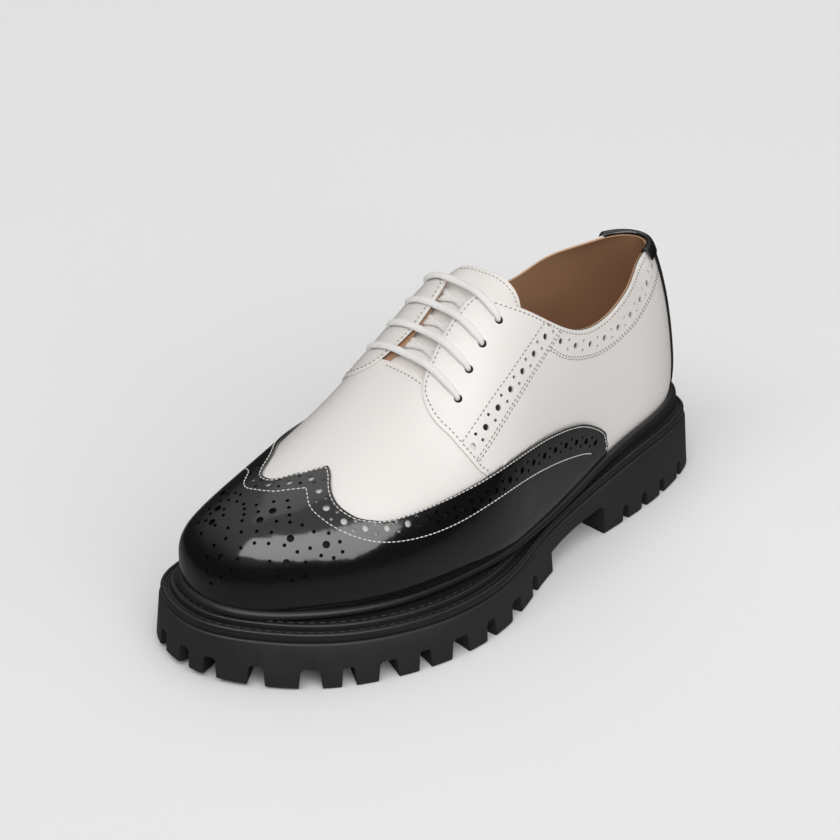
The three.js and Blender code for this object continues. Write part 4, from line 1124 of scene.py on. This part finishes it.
def quarter_inside(v, degrees):
    point = last_point(v, degrees)
    return np.min([below_topline(point), beside_throat(point),
                   (quarter_edge(degrees) - v) * ALONG_MM], axis=0)


def sew_quarters():
    def face(v, degrees):
        return quarter_rise(v, degrees) + 0.03

    def seen(v, degrees):
        return (v < wing_edge(degrees) - 0.002) & (v > 0.17)
    rows = seam_inside((0, 0.6), ALL_ROUND, quarter_inside, 1.8, face, seen)
    for mirror in (False, True):
        for sideways in (-4.8, 4.6, 5.8):
            rows.append(parallel_row(FRONT_BAND[1:], sideways, face, mirror))
        for sideways in (-4.9, -6.0):
            rows.append(parallel_row(COLLAR_BAND, sideways, face, mirror))
    across = [(VAMP_SEAM + 0.0045, degrees) for degrees in (97.5, 92, 87, 82, 78)]
    rows.append(line_on_last(across, 0.03)[2:])
    stitch_piece("quarter_stitches", rows, taupe_thread, 2.25, 1.35, 0.52)


sew_wing()
sew_quarters()

# Back strip and tab: patent leather over the seam of the quarters at the heel, with a tab
# folded over the collar and sewn at both its ends.
STRIP_HALF, TAB_REACH = 13, 0.165
TAB_FOLD = [   # height above the last, drop below the topline, from the outer hem to the inner
    (1.45, 4.0), (1.45, 2.6), (1.4, 1.0), (1.25, 0), (0.9, -0.6), (0.3, -0.85), (-0.25, -0.7),
    (-0.5, -0.15), (-0.45, 0.4),
]


def topline_degrees(v, side, drop=0.0):
    """Angle at which a section of the last reaches the topline, less a drop."""
    low, high = 3.0 + 0 * v, 89.0 + 0 * v
    for _ in range(30):
        middle = (low + high) / 2
        below = below_topline(last_point(v, np.where(side > 0, middle, 180 - middle)), drop) > 0
        low, high = np.where(below, middle, low), np.where(below, high, middle)
    return np.where(side > 0, low, 180 - low)


def tab_point(reach, out, drop):
    """Point of the folded tab: reach along the collar, then (out, drop) round the fold."""
    v, side = np.abs(reach), np.sign(reach) + (reach == 0)
    degrees = topline_degrees(v, side, np.clip(drop, 0, None))
    normal = last_normal(v, degrees)
    level = normal * [1, 1, 0]
    level /= np.linalg.norm(level, axis=-1, keepdims=True)
    lifted = smooth((1.5 - drop) / 1.5)[..., None]
    over = last_point(v, degrees) + level * (out / (normal * level).sum(-1))[..., None]
    over = over + np.stack([0 * out, 0 * out, -np.minimum(drop, 0)], -1)
    return over * lifted + on_last(v, degrees, out) * (1 - lifted)


def sew_back_strip():
    widths = np.linspace(0, 0.1, 400)
    half = np.minimum(lateral_of(widths), medial_of(widths)) * LAST_WIDTH
    edge = float(np.interp(STRIP_HALF, half, widths))

    def inside(v, degrees):
        return np.minimum((edge - v) * ALONG_MM * 1.5, below_topline(last_point(v, degrees), 1))
    bm = cut_leather((0, 0.1), ALL_ROUND, inside, 1.0)
    draw_over_last(bm, lambda v, degrees: OVERLAY_FIT + CAP_SKIN - 0.05 + 0 * v)
    strip = piece_from(bm, "patent_back_strip", patent)
    thickened(strip, CAP_SKIN - 0.1)
    out, drop = np.array(TAB_FOLD).T
    fold = np.linspace(0, len(out) - 1, 45)
    out = curve_through(range(len(out)), out)(fold)
    drop = curve_through(range(len(drop)), drop)(fold)
    reach = np.linspace(-TAB_REACH, TAB_REACH, 81)
    bm = bmesh.new()
    bmesh.ops.create_grid(bm, x_segments=80, y_segments=44, size=1)
    flat = np.array([vert.co[:2] for vert in bm.verts])
    across = np.round((flat[:, 0] + 1) * 40).astype(int)
    round_fold = np.round((flat[:, 1] + 1) * 22).astype(int)
    set_places(bm.verts, tab_point(reach[across], out[round_fold], drop[round_fold]))
    tab = piece_from(bm, "patent_back_tab", patent)
    thickened(tab, 0.8)
    for piece in (strip, tab):
        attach(piece, "root")
        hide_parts("back_strip")
    rows = []
    for end in (-1, 1):
        for inset in (0.008, 0.014):
            at = end * (TAB_REACH - inset) + 0 * out
            points = tab_point(at, out + 0.05, drop)
            rows.append((points, last_normal(np.abs(at), topline_degrees(np.abs(at), end + 0 * at))))
    stitch_piece("tab_stitches", rows, white_thread, 1.9, 1.45, 0.45)


sew_back_strip()

# Tongue: soft white calf with a thin pad, sewn to the vamp at its foot and lying loose under
# the laces, so that it buckles into a few shallow folds between them.
TONGUE_SIDE, TONGUE_SKIN, TONGUE_FOOT = 50, 2.2, 0.612
TONGUE_SINK = [(0, 1.2), (0.44, 1.2), (0.475, 2.0), (0.5, 2.4), (0.556, 2.4), (0.571, 0.5), (1, 0.5)]
TONGUE_FOLDS = [(0.508, 84, 0.5), (0.5265, 97, 0.7), (0.534, 82, 0.6), (0.549, 95, 0.7), (0.557, 84, 0.5)]


def tongue_inside(v, degrees):
    around = (degrees - TONGUE_SIDE) / (180 - 2 * TONGUE_SIDE)
    corner = np.abs(degrees - 90) / (90 - TONGUE_SIDE)
    top = 0.453 + 0.016 * np.clip(around * 1.6, None, 1) + 0.02 * corner ** 6
    return np.min([(v - top) * ALONG_MM, (degrees - TONGUE_SIDE) * 1.1,
                   (180 - TONGUE_SIDE - degrees) * 1.1, (TONGUE_FOOT - v) * ALONG_MM], axis=0)


def tongue_face(v, degrees):
    sink = np.interp(v, *zip(*TONGUE_SINK))
    folds = 0 * v
    for at, middle, high in TONGUE_FOLDS:
        slant = at + (degrees - middle) * 0.00025
        folds = folds + high * np.exp(-((v - slant) / 0.0045) ** 2 - ((degrees - middle) / 9) ** 2)
    pad = 0.5 * smooth(tongue_inside(v, degrees) / 4)
    return -WALL - sink + folds + pad - 0.3


def sew_tongue():
    bm = cut_leather((0.44, 0.62), (48, 152), tongue_inside, 1.2)
    draw_over_last(bm, tongue_face)
    tongue = piece_from(bm, "white_tongue", white_calf)
    thickened(tongue, TONGUE_SKIN, 0.6)
    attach(tongue, "root")
    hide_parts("tongue")
    rows = seam_inside((0.44, 0.62), (48, 152), tongue_inside, 2.2,
                       lambda v, degrees: tongue_face(v, degrees) + 0.03,
                       lambda v, degrees: (v < 0.5) & (degrees < 103))
    stitch_piece("tongue_stitches", rows, taupe_thread, 1.95, 1.25, 0.42)


sew_tongue()

# Insole: a flat sock of lighter tan leather over a board, laid inside on the lasted edge.
INSOLE_THICK = 3.6
sock_leather = worked(material_named("sock_leather", (0.44, 0.245, 0.165), 0.5), coarse=26, fine=1000,
                      shade=0.2, bump=0.08, rough_swing=0.05)


def lay_insole():
    v, side = ring_round(110)

    def level(gap, height):
        wall = wall_point(v, side, height)
        flat = wall[:, :2] - level_out(v, side) * (WALL + gap)
        return np.column_stack([flat, foot_z(wall[:, 1]) + height])
    bm = bmesh.new()
    moulded(bm, [level(0.9, 0.1), level(0.7, INSOLE_THICK - 1), level(0.9, INSOLE_THICK - 0.3),
                 level(1.5, INSOLE_THICK)], 110)
    insole = piece_from(bm, "leather_insole", sock_leather)
    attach(insole, "root")
    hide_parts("insole")


lay_insole()

# Laces: flattened waxed cotton cord in four straight bars through punched eyelets, crossing from
# row to row under the facings, where its ends are hidden.
LACE_WIDE, LACE_HIGH, LACE_IN_HOLE = 1.75, 1.15, 1.2      # half widths; and where it is squeezed
LACE_OVER, LACE_BELOW = QUARTER_STEP + LACE_HIGH + 0.15, -WALL - 1.05


def braided_cotton():
    """White cord: strands that cross round it in its own UV map."""
    cotton = material_named("lace_cotton", (0.80, 0.785, 0.765), 0.75, Sheen_Weight=0.25,
                            Sheen_Roughness=0.5)
    tree = cotton.node_tree
    uv = tree.nodes.new("ShaderNodeUVMap")
    uv.uv_map = "along_cord"
    waves = []
    for slant in (1, -1):
        turn = node_after(tree, "ShaderNodeMapping", {"Vector": uv.outputs["UV"]})
        turn.inputs["Scale"].default_value = (6, slant * 1100, 1)
        wave = node_after(tree, "ShaderNodeTexWave", {"Vector": turn.outputs["Vector"]}, Scale=0.32,
                          Distortion=0.0)
        wave.bands_direction = "DIAGONAL"
        waves.append(wave.outputs["Fac"])
    weave = tree.nodes.new("ShaderNodeMath")
    weave.operation = "MAXIMUM"
    tree.links.new(waves[0], weave.inputs[0])
    tree.links.new(waves[1], weave.inputs[1])
    bump = node_after(tree, "ShaderNodeBump", {"Height": weave.outputs[0]}, Strength=0.35,
                      Distance=0.0002)
    tree.links.new(bump.outputs["Normal"], tree.nodes["Principled BSDF"].inputs["Normal"])
    return cotton


def draw_cord(bm, points, side_way, wide, high, sides=12):
    """A flattened cord along a run of points: one ring of edges extruded from point to point.
    side_way is the way its flat face looks at its start."""
    uv = bm.loops.layers.uv.get("along_cord") or bm.loops.layers.uv.new("along_cord")
    points = (np.asarray(points) + MIDDLE) * MM
    runs = np.gradient(points, axis=0)
    side_way = Vector(side_way)
    wide, high = wide + 0 * points[:, 0], high + 0 * points[:, 0]
    walked, known = 0.0, {}
    faces, loop, edges = [], None, None
    for index, (point, run) in enumerate(zip(points, runs)):
        ahead = Vector(run).normalized()
        side_way = (side_way - ahead * side_way.dot(ahead)).normalized()
        other = ahead.cross(side_way)
        if loop is None:
            loop = bmesh.ops.create_circle(bm, segments=sides, radius=1, cap_ends=True)["verts"]
            loop = sorted(loop, key=lambda vert: math.atan2(vert.co.y, vert.co.x))
            edges = list({e for vert in loop for e in vert.link_edges})
        else:
            walked += np.linalg.norm(point - points[index - 1])
            edges, loop, grown = next_ring(bm, edges, loop)
            faces += grown
        for k, vert in enumerate(loop):
            way = 2 * math.pi * k / sides
            vert.co = Vector(point) + (side_way * math.cos(way) * high[index]
                                       + other * math.sin(way) * wide[index]) * MM
            known[vert] = (k, walked)
    faces += bmesh.ops.contextual_create(bm, geom=edges)["faces"]
    for face in faces:
        places = [known[corner.vert] for corner in face.loops]
        wraps = len(places) == 4 and {0, sides - 1} <= {k for k, _ in places}
        for corner, (k, length) in zip(face.loops, places):
            corner[uv].uv = ((k or (sides if wraps else 0)) / sides, length)


def thread_laces():
    bm = bmesh.new()
    for v, angle in EYELETS:
        half = [(angle + 0.6, LACE_BELOW), (angle + 0.6, -1.2), (angle + 0.8, 0.8),
                (angle + 2.3, LACE_OVER - 0.5), (angle + 5.5, LACE_OVER), (angle + 12, LACE_OVER),
                (83, LACE_OVER - 0.5), (88, LACE_OVER - 1.1)]
        way = half + [(180 - degrees, out) for degrees, out in half[::-1]]
        points = np.array([on_last(v, degrees, out) for degrees, out in way])
        walked = walked_along(points)
        fine = np.linspace(0, walked[-1], 90)
        path = np.column_stack([curve_through(walked, points[:, k])(fine) for k in range(3)])
        squeezed = smooth((np.abs(np.linspace(-1, 1, 90)) - 0.66) / 0.2)
        wide = LACE_WIDE + (LACE_IN_HOLE - LACE_WIDE) * squeezed
        draw_cord(bm, path, path[0] - path[45], wide, LACE_HIGH)
    for (v, angle), (next_v, next_angle) in zip(EYELETS, EYELETS[1:]):
        for start, end in ((angle, 180 - next_angle), (180 - angle, next_angle)):
            part = np.linspace(0, 1, 24)
            at, degrees = v + (next_v - v) * part, start + (end - start) * part
            draw_cord(bm, on_last(at, degrees, LACE_BELOW + 0 * part), last_normal(v, start), 1.5, 0.9)
    bmesh.ops.recalc_face_normals(bm, faces=bm.faces[:])
    laces = piece_from(bm, "cotton_laces", braided_cotton())
    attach(laces, "root")
    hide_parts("laces")


thread_laces()
